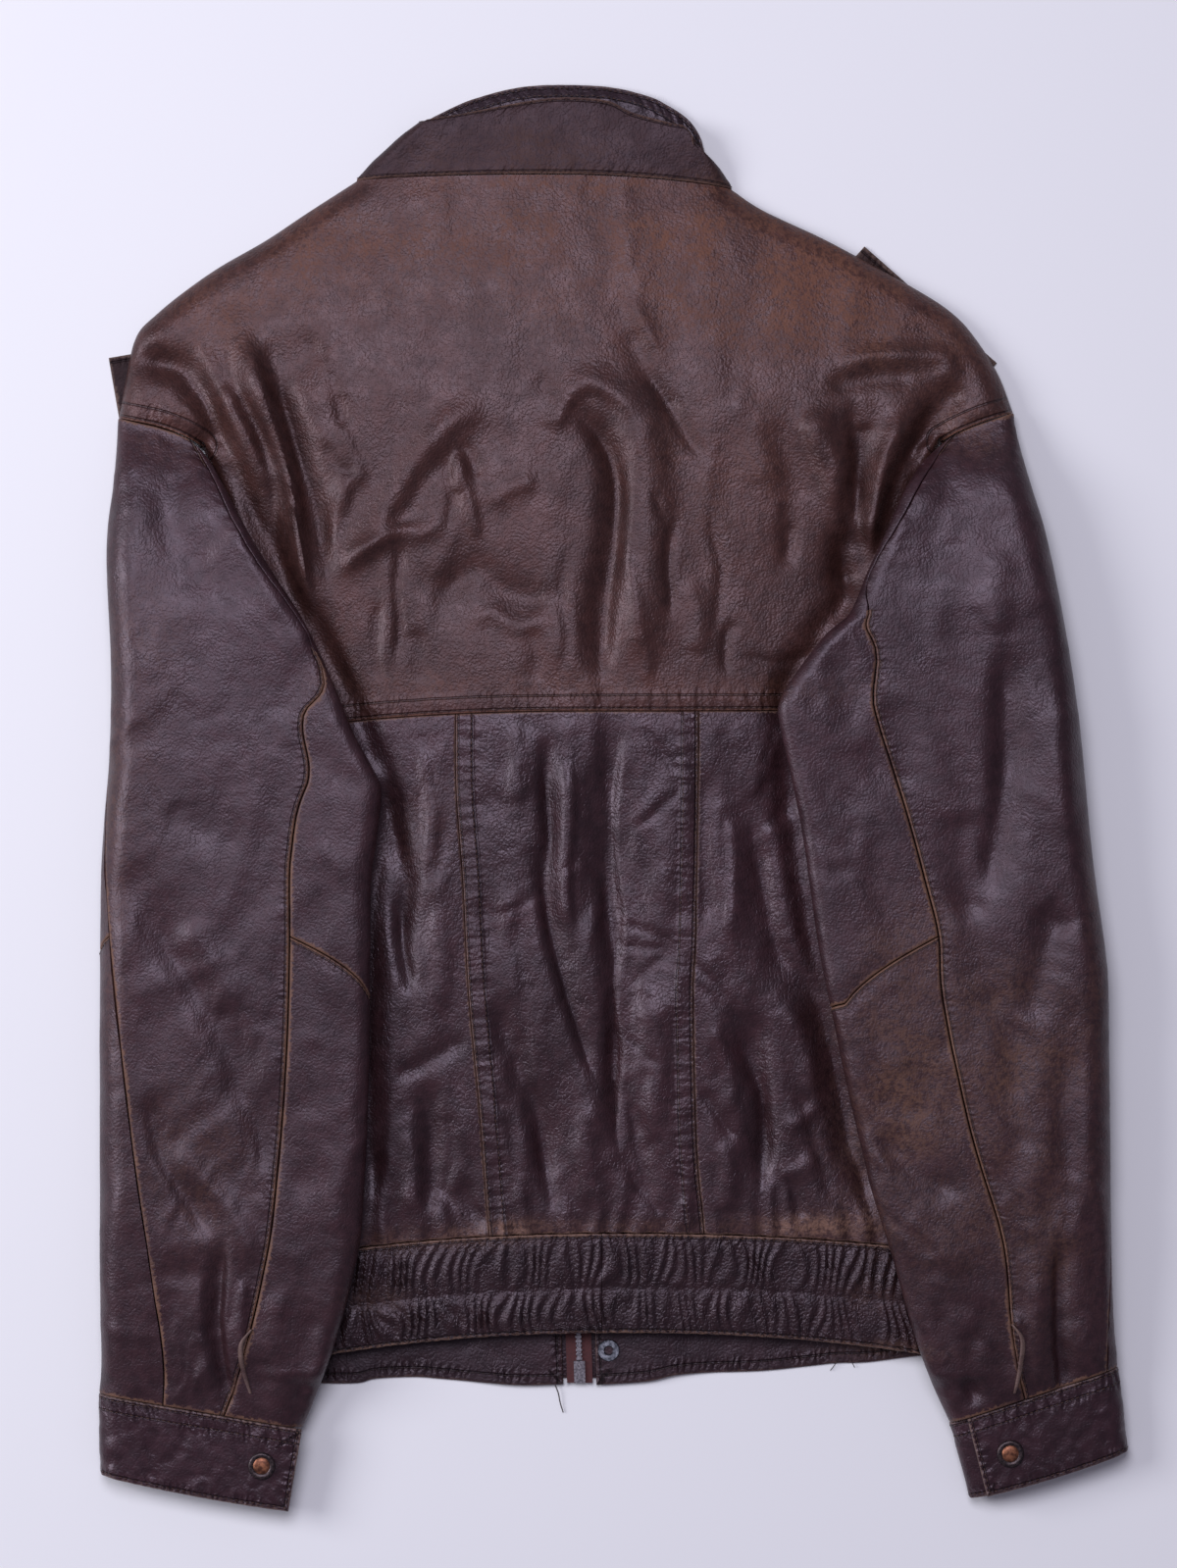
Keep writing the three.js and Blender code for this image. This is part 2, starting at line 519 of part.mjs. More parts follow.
function addFlapAndZip() {
  const strip = (from, to, foot, head, thickness, z, count) =>
    flatSheet(
      steps(0, 1, count),
      [0, 1],
      (r, c) => {
        const y = lerp(head, foot, r);
        return [centreX(y) + lerp(from, to, c), y];
      },
      thickness,
      () => z,
    );
  add("storm_flap", strip(-flap.left, flap.right, flap.foot, flap.head, wall, 0, 6), leather.front);
  const half = zip.chain / 2;
  const tapeColour = 0x5a2a2e;
  const zipColour = 0xb0b2b8;
  const tape = (start, end) => strip(start, end, zip.foot, zip.head, zip.tapeWall, zip.tapeZ, 4);
  add("zip_tape_left", tape(-half - 0.2 - zip.tape, -half - 0.2), tapeColour, 0.9);
  add("zip_tape_right", tape(half + 0.2, half + 0.2 + zip.tape), tapeColour, 0.9);
  const overTape = zip.tapeZ + zip.tapeWall + 0.2;
  const underTape = floorLayer + 0.1;
  const metals = [
    { name: "zip_chain", half, foot: zip.foot + 13, head: zip.head, wall: zip.chainWall, z: zip.tapeZ, rows: 4 },
    { name: "zip_box", half: 3.2, foot: zip.foot, head: zip.foot + 12.7, wall: 0.9, z: overTape, rows: 1 },
    { name: "zip_slider", half: 4, foot: zip.head + 0.4, head: zip.head + 11.5, wall: 3.2, z: underTape, rows: 1 },
    { name: "zip_tab", half: 3, foot: zip.head - 34, head: zip.head - 0.2, wall: 0.6, z: underTape, rows: 2 },
  ];
  for (const piece of metals) {
    const geometry = strip(-piece.half, piece.half, piece.foot, piece.head, piece.wall, piece.z, piece.rows);
    add(piece.name, geometry, zipColour, 0.35, 1);
  }
}

function addHemSnap() {
  const [x, y] = hemSnap.place;
  const profile = [[hemSnap.inner, 0], [hemSnap.outer, 0], [hemSnap.outer - 0.5, hemSnap.height],
    [hemSnap.inner + 0.6, hemSnap.height], [hemSnap.inner, 0]];
  const ring = new THREE.LatheGeometry(profile.map(([r, z]) => new THREE.Vector2(r, z)), 16);
  ring.rotateX(Math.PI / 2);
  ring.translate(x, y, floorLayer + wall + 0.1);
  add("hem_snap_ring", ring, 0x9ea4ad, 0.3, 1);
}

function addCollar() {
  const neckRow = bodyRow(0);
  // A tube-like piece: it comes down to the floor at both ends, where the collar folds to the front.
  const stand = (r, c) => {
    const xLow = lerp(neckRow.left[0], neckRow.right[0], c);
    const low = [xLow, rowY(neckRow, xLow) + 0.6];
    const high = along(standTop, c);
    const bulge = 3 * Math.sin(Math.PI * r) * (Math.abs(2 * c - 1) ** 3) * Math.sign(c - 0.5);
    const [x, y] = [lerp(low[0], high[0], r) + bulge, lerp(low[1], high[1], r)];
    const inward = Math.min(c, 1 - c) * lerp(216, 170, r);
    const neckHeight = backHeight(xLow, low[1], neckRow.left[0], neckRow.right[0]);
    const crown = lerp(neckHeight, standHeight, smooth(r * 1.3));
    const foot = 7 * smooth((r - 0.5) / 0.35); // its upper corners stand clear of the turned edge
    return new THREE.Vector3(x, y, foot + (crown - foot) * rise(inward / lerp(sideRound, 6, r)));
  };
  const turned = [30, 60, 90].map((degrees) => (sideRound / 200) * (1 - Math.cos((degrees * Math.PI) / 180)));
  const columns = [0, ...turned, ...steps(0.12, 0.88, 12)];
  columns.push(...columns.slice(0, 4).reverse().map((c) => 1 - c));
  const standWall = surfaceWall((r, c) => stand(1 - r, c), [0, 0.15, 0.35, 0.6, 0.8, 1], columns);
  add("collar_stand", standWall, leather.collar, 0.65);

  const edge = (r, c) => {
    const [a, b] = [along(edgeOuter, c), along(edgeInner, c)];
    const up = Math.sin(Math.PI * clamp01(c)) ** 0.5;
    const z = lerp(3.4, lerp(3.6, 6.4, up), smooth(r * 2));
    return new THREE.Vector3(lerp(a[0], b[0], r), lerp(a[1], b[1], r), z);
  };
  add("collar_edge", surfaceWall(edge, [0, 0.12, 0.4, 0.7, 1], steps(0, 1, 20), 2.2), leather.edge, 0.45);

  for (const [name, side] of [["collar_front_left", -1], ["collar_front_right", 1]]) {
    const zipEdge = centreX(300) + (side * zip.gap) / 2;
    const plan = (r, c) => {
      const i = lerp(6, 0.7, c);
      const row = bodyRow(i);
      const half = at(neckHalfWidth.map((h, k) => [k, h]), i);
      const xLow = centreX(row.middle) + side * Math.max(zip.gap / 2, half - 0.8);
      const low = [xLow, rowY(row, xLow) + 1.2];
      const top = along(side < 0 ? frontCollarTop.left : frontCollarTop.right, c);
      const high = [side * Math.max(side * top[0], side * zipEdge), top[1]];
      return [lerp(high[0], low[0], r), lerp(high[1], low[1], r)];
    };
    const columns = side < 0 ? steps(1, 0, 8) : steps(0, 1, 8);
    add(name, flatSheet([0, 0.5, 1], columns, plan, wall, floorLift), leather.collar, 0.65);
  }
}

// A sleeve's row at r: its two edges, and its plan between them, which starts as the armhole's curve.
function sleeveRow(sleeve, r) {
  const keys = sleeve.rows.map((row, i) => [i, row]);
  const yOuter = at(keys.map(([i, row]) => [i, row[0]]), r);
  const yInner = at(keys.map(([i, row]) => [i, row[1]]), r);
  return { outer: [xAt(sleeve.outer, yOuter), yOuter], inner: [xAt(sleeve.inner, yInner), yInner] };
}

// A point of a sleeve's outer side. s runs round it: 0 at the outer edge, 1 at the inner fold by way
// of the top, and 2 at the outer edge again by way of the underside.
function sleevePoint(sleeve, r, s) {
  const { outer, inner } = sleeveRow(sleeve, r);
  const share = (1 - Math.cos(Math.PI * s)) / 2;
  const onTop = Math.sin(Math.PI * s) >= 0;
  const first = sleeve.head;
  const [headX, headY] = along(first, share);
  const chord = [lerp(first[0][0], first[5][0], share), lerp(first[0][1], first[5][1], share)];
  const bow = 1 - smooth(r / 4);
  const x = lerp(outer[0], inner[0], share) + (headX - chord[0]) * bow;
  const y = lerp(outer[1], inner[1], share) + (headY - chord[1]) * bow - armholeGap * (1 - smooth(r));
  const width = Math.hypot(inner[0] - outer[0], inner[1] - outer[1]);
  const under = bedHeight(x, y);
  const top = sleeveTop(sleeve, x, y, r, under);
  const turn = Math.min(sleeveRound, 0.65 * (top - under)); // a thin stretch turns in less width
  const half = 0.5 * rise((Math.min(share, 1 - share) * width) / turn);
  return new THREE.Vector3(x, y, under + (top - under) * (onTop ? 0.5 + half : 0.5 - half));
}
// What a sleeve lies on at a place: the floor, a strap, the back or the corner of a front's hem.
function bedHeight(x, y) {
  const over = backTop(x, y);
  const within = (1 - smooth((Math.abs(x) - 197) / 6)) * (1 - smooth((-341 - y) / 6));
  const hem = (wall + 0.8) * within * smooth((-300 - y) / 10);
  return Math.max(floorLift(x, y), over + layerGap * smooth(over / 3), hem);
}
function sleeveTop(sleeve, x, y, r, under) {
  const own = at(sleeveHeight, r) + foldHeight(sleeve.folds, x, y);
  const raised = softMax(own, under + 14, 8);
  if (r > 3) return raised;
  const { left, right } = bodyRow(11);
  const head = Math.max(9, backHeight(x, y, left[0], right[0]));
  return lerp(head, raised, smooth(r / 3));
}

const loopShare = (f) => (Math.sign(f) * Math.acos(1 - 2 * Math.abs(f))) / Math.PI; // share of width to s

function addSleeve(name, sleeve) {
  const last = sleeve.rows.length - 1;
  const seamStep = (r) => lerp(0.006, 0.0018, smooth(r / 5)); // in turns, more at the narrow head
  const back = (r) => loopShare(at(sleeve.backSeam, r));
  const front = (r) => loopShare(at(sleeve.frontSeam, r));
  const mirrored = sleeve.side > 0;
  const rowsOf = (from, to) => steps(from, to, Math.round(to - from));
  const build = (surface, rows, count) =>
    surfaceWall(mirrored ? (r, c) => surface(r, 1 - c) : surface, rows, steps(0, 1, count));

  const outerPanel = (r, c) => {
    return sleevePoint(sleeve, r, lerp(front(r) + seamStep(r), back(r) - seamStep(r), c));
  };
  add(name + "_outer_panel", build(outerPanel, rowsOf(0, last), 13), leather.sleeve, 0.55);

  // Below the back seam the rows of the under panel slant with the elbow seam and come back to it.
  const slant = (r, c) => {
    const near = r < sleeve.elbowRow ? r / sleeve.elbowRow : (last - r) / (last - sleeve.elbowRow);
    return r + at(elbowDrop, c) * near;
  };
  const underPanel = (r, c) => {
    const row = slant(r, c);
    return sleevePoint(sleeve, row, lerp(back(row) + seamStep(row), front(row) + 2 - seamStep(row), c));
  };
  const gap = seamGap / 35;
  const upper = rowsOf(1, sleeve.elbowRow); // it starts where the fold has left the armhole
  upper[upper.length - 1] -= gap;
  const lower = rowsOf(sleeve.elbowRow, last);
  lower[0] += gap;
  add(name + "_under_upper", build(underPanel, upper, 14), leather.sleeve, 0.55);
  add(name + "_under_lower", build(underPanel, lower, 14), leather.sleeve, 0.55);
}

// A point of a sleeve's top at a place of the plan.
function onSleeve(sleeve, x, y) {
  let [low, high] = [0, sleeve.rows.length - 1];
  let point;
  for (let i = 0; i < 24; i++) {
    const r = (low + high) / 2;
    const { outer, inner } = sleeveRow(sleeve, r);
    point = sleevePoint(sleeve, r, loopShare(clamp01((x - outer[0]) / (inner[0] - outer[0]))));
    if (point.y > y) low = r;
    else high = r;
  }
  return point;
}

// A cuff is one strip. It starts on top under its own end (turn 0), goes round the inner fold, the
// underside and the outer edge (turn 2), and ends on top in the flap (turn 3).
function cuffPoint(sleeve, r, turn) {
  const { top, bottom, bow, fold, end, heights } = sleeve.cuff;
  const flapPart = Math.max(0, turn - 2);
  const flapShare = end * (1 - Math.cos((flapPart * Math.PI) / 2));
  const share = turn > 2 ? flapShare : (fold * (1 - Math.cos(Math.PI * turn))) / 2;
  const width = Math.abs(top[1][0] - top[0][0]);
  const place = (edge) => [lerp(edge[0][0], edge[1][0], share), lerp(edge[0][1], edge[1][1], share)];
  const [a, b] = [place(top), place(bottom)];
  const full = lerp(heights[0], heights[1], r);
  const height = turn > 2 ? full : lerp(full - cuffWall - 0.8, full, smooth(turn - 1));
  const fromEdge = turn > 2 ? share : Math.min(share, fold - share);
  const half = 0.5 * rise((fromEdge * width) / (sleeveRound * 0.75));
  const up = turn > 1 && turn < 2 ? 0.5 - half : 0.5 + half;
  const y = lerp(a[1], b[1], r) + 4 * share * (1 - share) * bow * r;
  return new THREE.Vector3(lerp(a[0], b[0], r), y, height * up);
}

function addCuff(name, sleeve) {
  const turns = [...steps(sleeve.cuff.start, 1, 4), ...steps(1, 2, 9).slice(1), ...steps(2, 3, 8).slice(1)];
  const surface = (r, t) => cuffPoint(sleeve, r, t);
  const mirrored = sleeve.side > 0;
  const rows = [0, 0.12, 0.5, 0.88, 1];
  const outer = rows.map((r) => turns.map((t) => surface(r, t)));
  const normals = rows.map((r) =>
    turns.map((t) => {
      const [t0, t1] = [Math.max(turns[0], t - 1e-3), Math.min(3, t + 1e-3)];
      const down = surface(1, t).sub(surface(0, t));
      const normal = down.cross(surface(r, t1).sub(surface(r, t0))).normalize();
      return mirrored ? normal.negate() : normal;
    }),
  );
  const order = (grid) => (mirrored ? grid.map((row) => [...row].reverse()) : grid);
  add(name + "_cuff", wallGeometry(order(outer), order(normals), cuffWall), leather.sleeve, 0.45);

  const [x, y] = sleeve.snap;
  const { radius, height } = cuffSnap;
  const r = (y - sleeve.cuff.top[1][1]) / (sleeve.cuff.bottom[1][1] - sleeve.cuff.top[1][1]);
  const profile = [[0, 0], [radius, 0], [radius, 0.5], [radius - 1.2, height - 0.3],
    [radius - 2.4, height - 0.5], [radius * 0.4, height], [0, height]];
  const cap = new THREE.LatheGeometry(profile.map(([px, pz]) => new THREE.Vector2(px, pz)), 16);
  cap.rotateX(Math.PI / 2);
  cap.translate(x, y, lerp(sleeve.cuff.heights[0], sleeve.cuff.heights[1], r) + 0.35);
  add(name + "_cuff_snap", cap, 0x6d4030, 0.4, 0.8);
}

// The slit's bound edge, a strip that lies on the sleeve beside the back seam.
function addSlit(name, sleeve) {
  const [halfWidth, thickness] = [1.4, 0.8];
  const surface = (r, c) => {
    const [x, y] = along(sleeve.slit, r);
    const place = onSleeve(sleeve, x + lerp(-halfWidth, halfWidth, c), y);
    place.z += 0.35 + thickness;
    return place;
  };
  add(name + "_slit_edge", surfaceWall(surface, steps(0, 1, 6), [0, 1], thickness), 0x6b4a3a, 0.7);
}

function addStrap(name, { from, to, width }) {
  const strap = new THREE.BoxGeometry(Math.hypot(to[0] - from[0], to[1] - from[1]), width, wall);
  strap.rotateZ(Math.atan2(to[1] - from[1], to[0] - from[0]));
  strap.translate((from[0] + to[0]) / 2, (from[1] + to[1]) / 2, wall / 2);
  add(name, strap, leather.sleeve);
}

addBack();
addWaistband();
addFronts();
addFrontHems();
addFlapAndZip();
addHemSnap();
addCollar();
for (const [side, sleeve] of Object.entries(sleeves)) {
  addSleeve("sleeve_" + side, sleeve);
  addCuff("sleeve_" + side, sleeve);
  addSlit("sleeve_" + side, sleeve);
  addStrap("shoulder_strap_" + side, sleeve.strap);
}

export default group;
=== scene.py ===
import math

import bpy
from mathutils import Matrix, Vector
import numpy as np


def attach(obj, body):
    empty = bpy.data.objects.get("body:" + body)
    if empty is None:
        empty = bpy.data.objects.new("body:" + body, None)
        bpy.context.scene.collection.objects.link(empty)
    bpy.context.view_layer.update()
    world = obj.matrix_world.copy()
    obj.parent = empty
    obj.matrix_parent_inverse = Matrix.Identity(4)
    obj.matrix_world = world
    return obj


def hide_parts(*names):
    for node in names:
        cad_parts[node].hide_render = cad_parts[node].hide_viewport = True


# A worn leather blouson laid face down. Shapes are worked out in millimetres and turned to metres
# when a mesh is made. Left and right are the wearer's, so the left sleeve lies at -X.
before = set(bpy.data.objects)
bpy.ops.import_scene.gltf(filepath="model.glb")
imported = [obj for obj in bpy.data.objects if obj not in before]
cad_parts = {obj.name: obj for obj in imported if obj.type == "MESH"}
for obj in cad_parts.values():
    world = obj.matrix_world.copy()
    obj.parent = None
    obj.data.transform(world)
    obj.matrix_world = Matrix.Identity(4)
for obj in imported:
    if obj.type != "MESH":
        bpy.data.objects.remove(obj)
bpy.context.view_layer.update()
scene = bpy.context.scene

view = {"pixel": 0.56, "width": 1200, "height": 1599, "zeroX": 626, "zeroY": 812, "away": 3000, "plane": 18}


# Places on the photograph, in its pixels, as millimetres of the frame.
def onPlan(points):
    return [((px - view["zeroX"]) * view["pixel"], (view["zeroY"] - py) * view["pixel"])
            for px, py in points]


# Small maths on arrays
def clamp01(t):
    return np.clip(t, 0.0, 1.0)


def lerp(a, b, t):
    return a + (b - a) * t


def smooth(t):
    t = clamp01(t)
    return t * t * (3 - 2 * t)


def rise(t):
    return np.sqrt(1 - (1 - clamp01(t)) ** 2)  # a quarter ellipse


def softMax(a, b, k):
    return np.maximum(a, b) + np.maximum(0, k - np.abs(a - b)) ** 2 / (4 * k)


# A smooth line through points or numbers, with `each` steps between them.
def spline(points, each):
    p = np.array(points, float)
    if len(p) < 3:
        return p
    p = np.concatenate([[2 * p[0] - p[1]], p, [2 * p[-1] - p[-2]]])
    out = []
    for i in range(1, len(p) - 2):
        for step in range(each):
            t = step / each
            a, b, c, d = p[i - 1], p[i], p[i + 1], p[i + 2]
            out.append(0.5 * (2 * b + (c - a) * t + (2 * a - 5 * b + 4 * c - d) * t * t
                              + (3 * b - a - 3 * c + d) * t ** 3))
    out.append(p[-2])
    return np.array(out)


def at(pairs, key):
    p = np.array(pairs, float)
    if p[-1, 0] < p[0, 0]:
        p = p[::-1]
    return np.interp(key, p[:, 0], p[:, 1])


def along(path, share):
    p = np.array(path, float)
    run = np.concatenate([[0], np.cumsum(np.hypot(*np.diff(p, axis=0).T))])
    where = clamp01(np.asarray(share, float)) * run[-1]
    return np.interp(where, run, p[:, 0]), np.interp(where, run, p[:, 1])


# Distance to a path, the run along it at the nearest place, its length, and the side (+1 is left).
def nearest(path, x, y):
    best, run, side, before = np.full(x.shape, 1e9), np.zeros(x.shape), np.ones(x.shape), 0.0
    for (ax, ay), (bx, by) in zip(path[:-1], path[1:]):
        dx, dy = bx - ax, by - ay
        length = math.hypot(dx, dy)
        if length < 1e-6:
            continue
        t = clamp01(((x - ax) * dx + (y - ay) * dy) / length ** 2)
        distance = np.hypot(x - ax - t * dx, y - ay - t * dy)
        closer = distance < best
        best = np.where(closer, distance, best)
        run = np.where(closer, before + t * length, run)
        side = np.where(closer, np.sign(dx * (y - ay) - dy * (x - ax)), side)
        before += length
    return best, run, before, side


def noise(x, y, seed):
    chance = np.random.RandomState(seed)
    order = chance.permutation(256)
    angle = chance.rand(256) * 2 * np.pi
    gx, gy = np.cos(angle), np.sin(angle)
    xi, yi = np.floor(x).astype(int), np.floor(y).astype(int)
    xf, yf = x - xi, y - yi

    def corner(i, j):
        h = order[(order[(xi + i) & 255] + yi + j) & 255]
        return gx[h] * (xf - i) + gy[h] * (yf - j)

    u, v = smooth(xf), smooth(yf)
    return 1.5 * lerp(lerp(corner(0, 0), corner(1, 0), u), lerp(corner(0, 1), corner(1, 1), u), v)


# Crumpled leather: soft ridges `size` mm apart, longer by `stretch` along an angle in degrees.
def crumple(x, y, seed, size, stretch, angle):
    a = math.radians(angle)
    u = (x * math.cos(a) + y * math.sin(a)) / (size * stretch)
    v = (-x * math.sin(a) + y * math.cos(a)) / size
    bend = 0.45 * noise(u * 0.9 + 7.3, v * 0.9, seed + 11)
    n = noise(u + bend, v + 0.9 * bend, seed)
    return 1 - 2.6 * np.sqrt(n * n + 0.01)


foldForm = {"reach": 3.2, "endRise": 0.12}


# A sum of such layers, each with its weight, seed, size, stretch and angle
def crumples(x, y, layers):
    return sum(weight * crumple(x, y, *layer) for weight, *layer in layers)


# Each fold is its rise and width in mm and a path on the photograph, x and y in turn. With a lean
# above 0 the side on the left of the path is the gentle one, and "ends" is the share that fades out.
def foldField(folds, x, y):
    total = np.zeros(x.shape)
    for height, width, places, *more in folds:
        path = spline(onPlan(zip(places[::2], places[1::2])), 4)
        settings = {"lean": 0.0, "ends": 0.2, **(more[0] if more else {})}
        lean, ends = settings["lean"], settings["ends"]
        reach = foldForm["reach"] * width * (1 + abs(lean))
        near = ((x > path[:, 0].min() - reach) & (x < path[:, 0].max() + reach)
                & (y > path[:, 1].min() - reach) & (y < path[:, 1].max() + reach))
        if not near.any():
            continue
        distance, run, length, side = nearest(path, x[near], y[near])
        share = run / length
        fade = smooth(share / ends) * smooth((1 - share) / ends)
        w = width * (1 + lean * side)
        total[near] += height * np.exp(-(distance / w) ** 2.0) * lerp(foldForm["endRise"], 1, fade)
    return total


# The body's rows from the neck down: left end, right end, the middle's place along Y.
bodyRows = [
    ((-148, 353), (68, 348), 355.5), ((-176, 335), (86, 336), 343), ((-200, 319), (120, 320), 328),
    ((-226, 304), (150, 304), 312), ((-246, 290), (175, 290), 296), ((-262, 277), (192, 279), 281),
    ((-274, 264), (205, 266), 266), ((-280, 240), (220, 243), 246), ((-284, 217), (229, 220), 228),
    ((-276, 215), (223, 218), 217), ((-262, 212), (212, 214.5), 207), ((-252, 208.8), (204, 211.4), 197),
    ((-244, 205.3), (196, 208), 186), ((-236, 200.5), (188, 203.5), 172), ((-226, 170), (177, 176), 152),
    ((-219, 135), (170, 142), 126), ((-217, 100), (176, 106), 98), ((-217, 66), (184, 74), 72),
    ((-216, 44), (187, 59), 57.5), ((-215, 35), (188, 50), 48.5), ((-213, 8), (188.5, 20), 18),
    ((-212, -24), (189, -14), -16), ((-210, -60), (191, -50), -52), ((-208, -96), (193, -86), -88),
    ((-206, -132), (195, -122), -124), ((-204, -168), (197, -158), -160), ((-202, -203), (199, -193), -194),
    ((-199, -238), (200, -230), -226), ((-197, -266), (201, -262), -249.5),
    ((-196, -278), (201, -272), -260),
    ((-195, -290), (201, -284), -271), ((-194, -300), (201, -294), -281), ((-193, -308), (201, -304), -290),
    ((-192, -317), (201, -314), -299), ((-191, -325), (201, -324), -307),
]
body = {
    "yoke": (0, 19), "panels": (19, 28), "band": (28, 34), "corners": (0, 8, 13, 34),
    "wall": 1.6, "sideRound": 14, "seamGap": 0.3, "gridStep": 1.9, "centreBack": -7,
    "foldFade": 22, "edgeFold": 0.35, "lowest": 6.0, "lowestBlend": 2.0, "endCurve": 2.2,
    "leftSeam": [(-90, 60), (-90, 7), (-86, -49), (-83, -110), (-77, -175), (-73, -227), (-69, -270)],
    "rightSeam": [(48, 60), (48, 7), (46.5, -79), (45, -117), (47, -201), (51, -244), (52, -270)],
    "middleHeight": [(370, 13), (353, 14), (300, 20), (230, 26), (100, 29), (0, 28), (-120, 27), (-210, 22),
                     (-262, 18), (-320, 15)],
    "sideHeight": [(370, 7), (353, 8), (300, 10), (230, 15), (160, 15), (60, 13), (-120, 13), (-320, 12)],
}

# The largest folds, as in the part's solids
mainFolds = [
    (-8, 9, [117, 362, 180, 374, 196, 391, 212, 416, 221, 444, 230, 474]),
    (8, 8, [239, 333, 262, 394, 290, 469, 306, 544, 315, 608, 317, 640]),
    (5, 8, [224, 387, 260, 455, 283, 505]), (-6, 8, [280, 376, 299, 444, 319, 517, 330, 589]),
    (4, 9, [346, 590, 399, 519, 440, 455, 471, 424, 505, 426]), (-3, 8, [397, 544, 430, 491, 462, 458]),
    (-6, 8, [580, 416, 615, 448, 626, 491, 621, 560, 610, 640, 615, 708]),
    (4, 12, [637, 391, 655, 450, 663, 508, 658, 583, 656, 690]),
    (6, 9, [821, 410, 837, 444, 853, 476, 863, 519, 871, 558]), (-8, 9, [881, 473, 862, 562, 860, 612]),
    (6, 8, [924, 417, 905, 469, 890, 508, 887, 562]), (-7, 9, [976, 383, 953, 428, 940, 450, 922, 483]),
    (-7, 9, [621, 708, 622, 773, 624, 841, 622, 907, 631, 1017, 628, 1094, 640, 1178, 665, 1233],
     {"lean": 0.25}),
    (-4, 7, [553, 748, 560, 853, 553, 894, 580, 1010, 612, 1119], {"lean": 0.3}),
    (-4, 8, [499, 1010, 530, 1091, 549, 1150, 565, 1219]),
    (-5, 8, [760, 1026, 772, 1100, 774, 1160, 769, 1216]),
    (-5, 10, [751, 776, 774, 891, 790, 960, 821, 1010, 846, 1080, 865, 1169, 890, 1241], {"lean": -0.3}),
    (-4, 9, [399, 794, 410, 900, 419, 982]), (-3, 8, [440, 1098, 440, 1200, 446, 1241]),
]

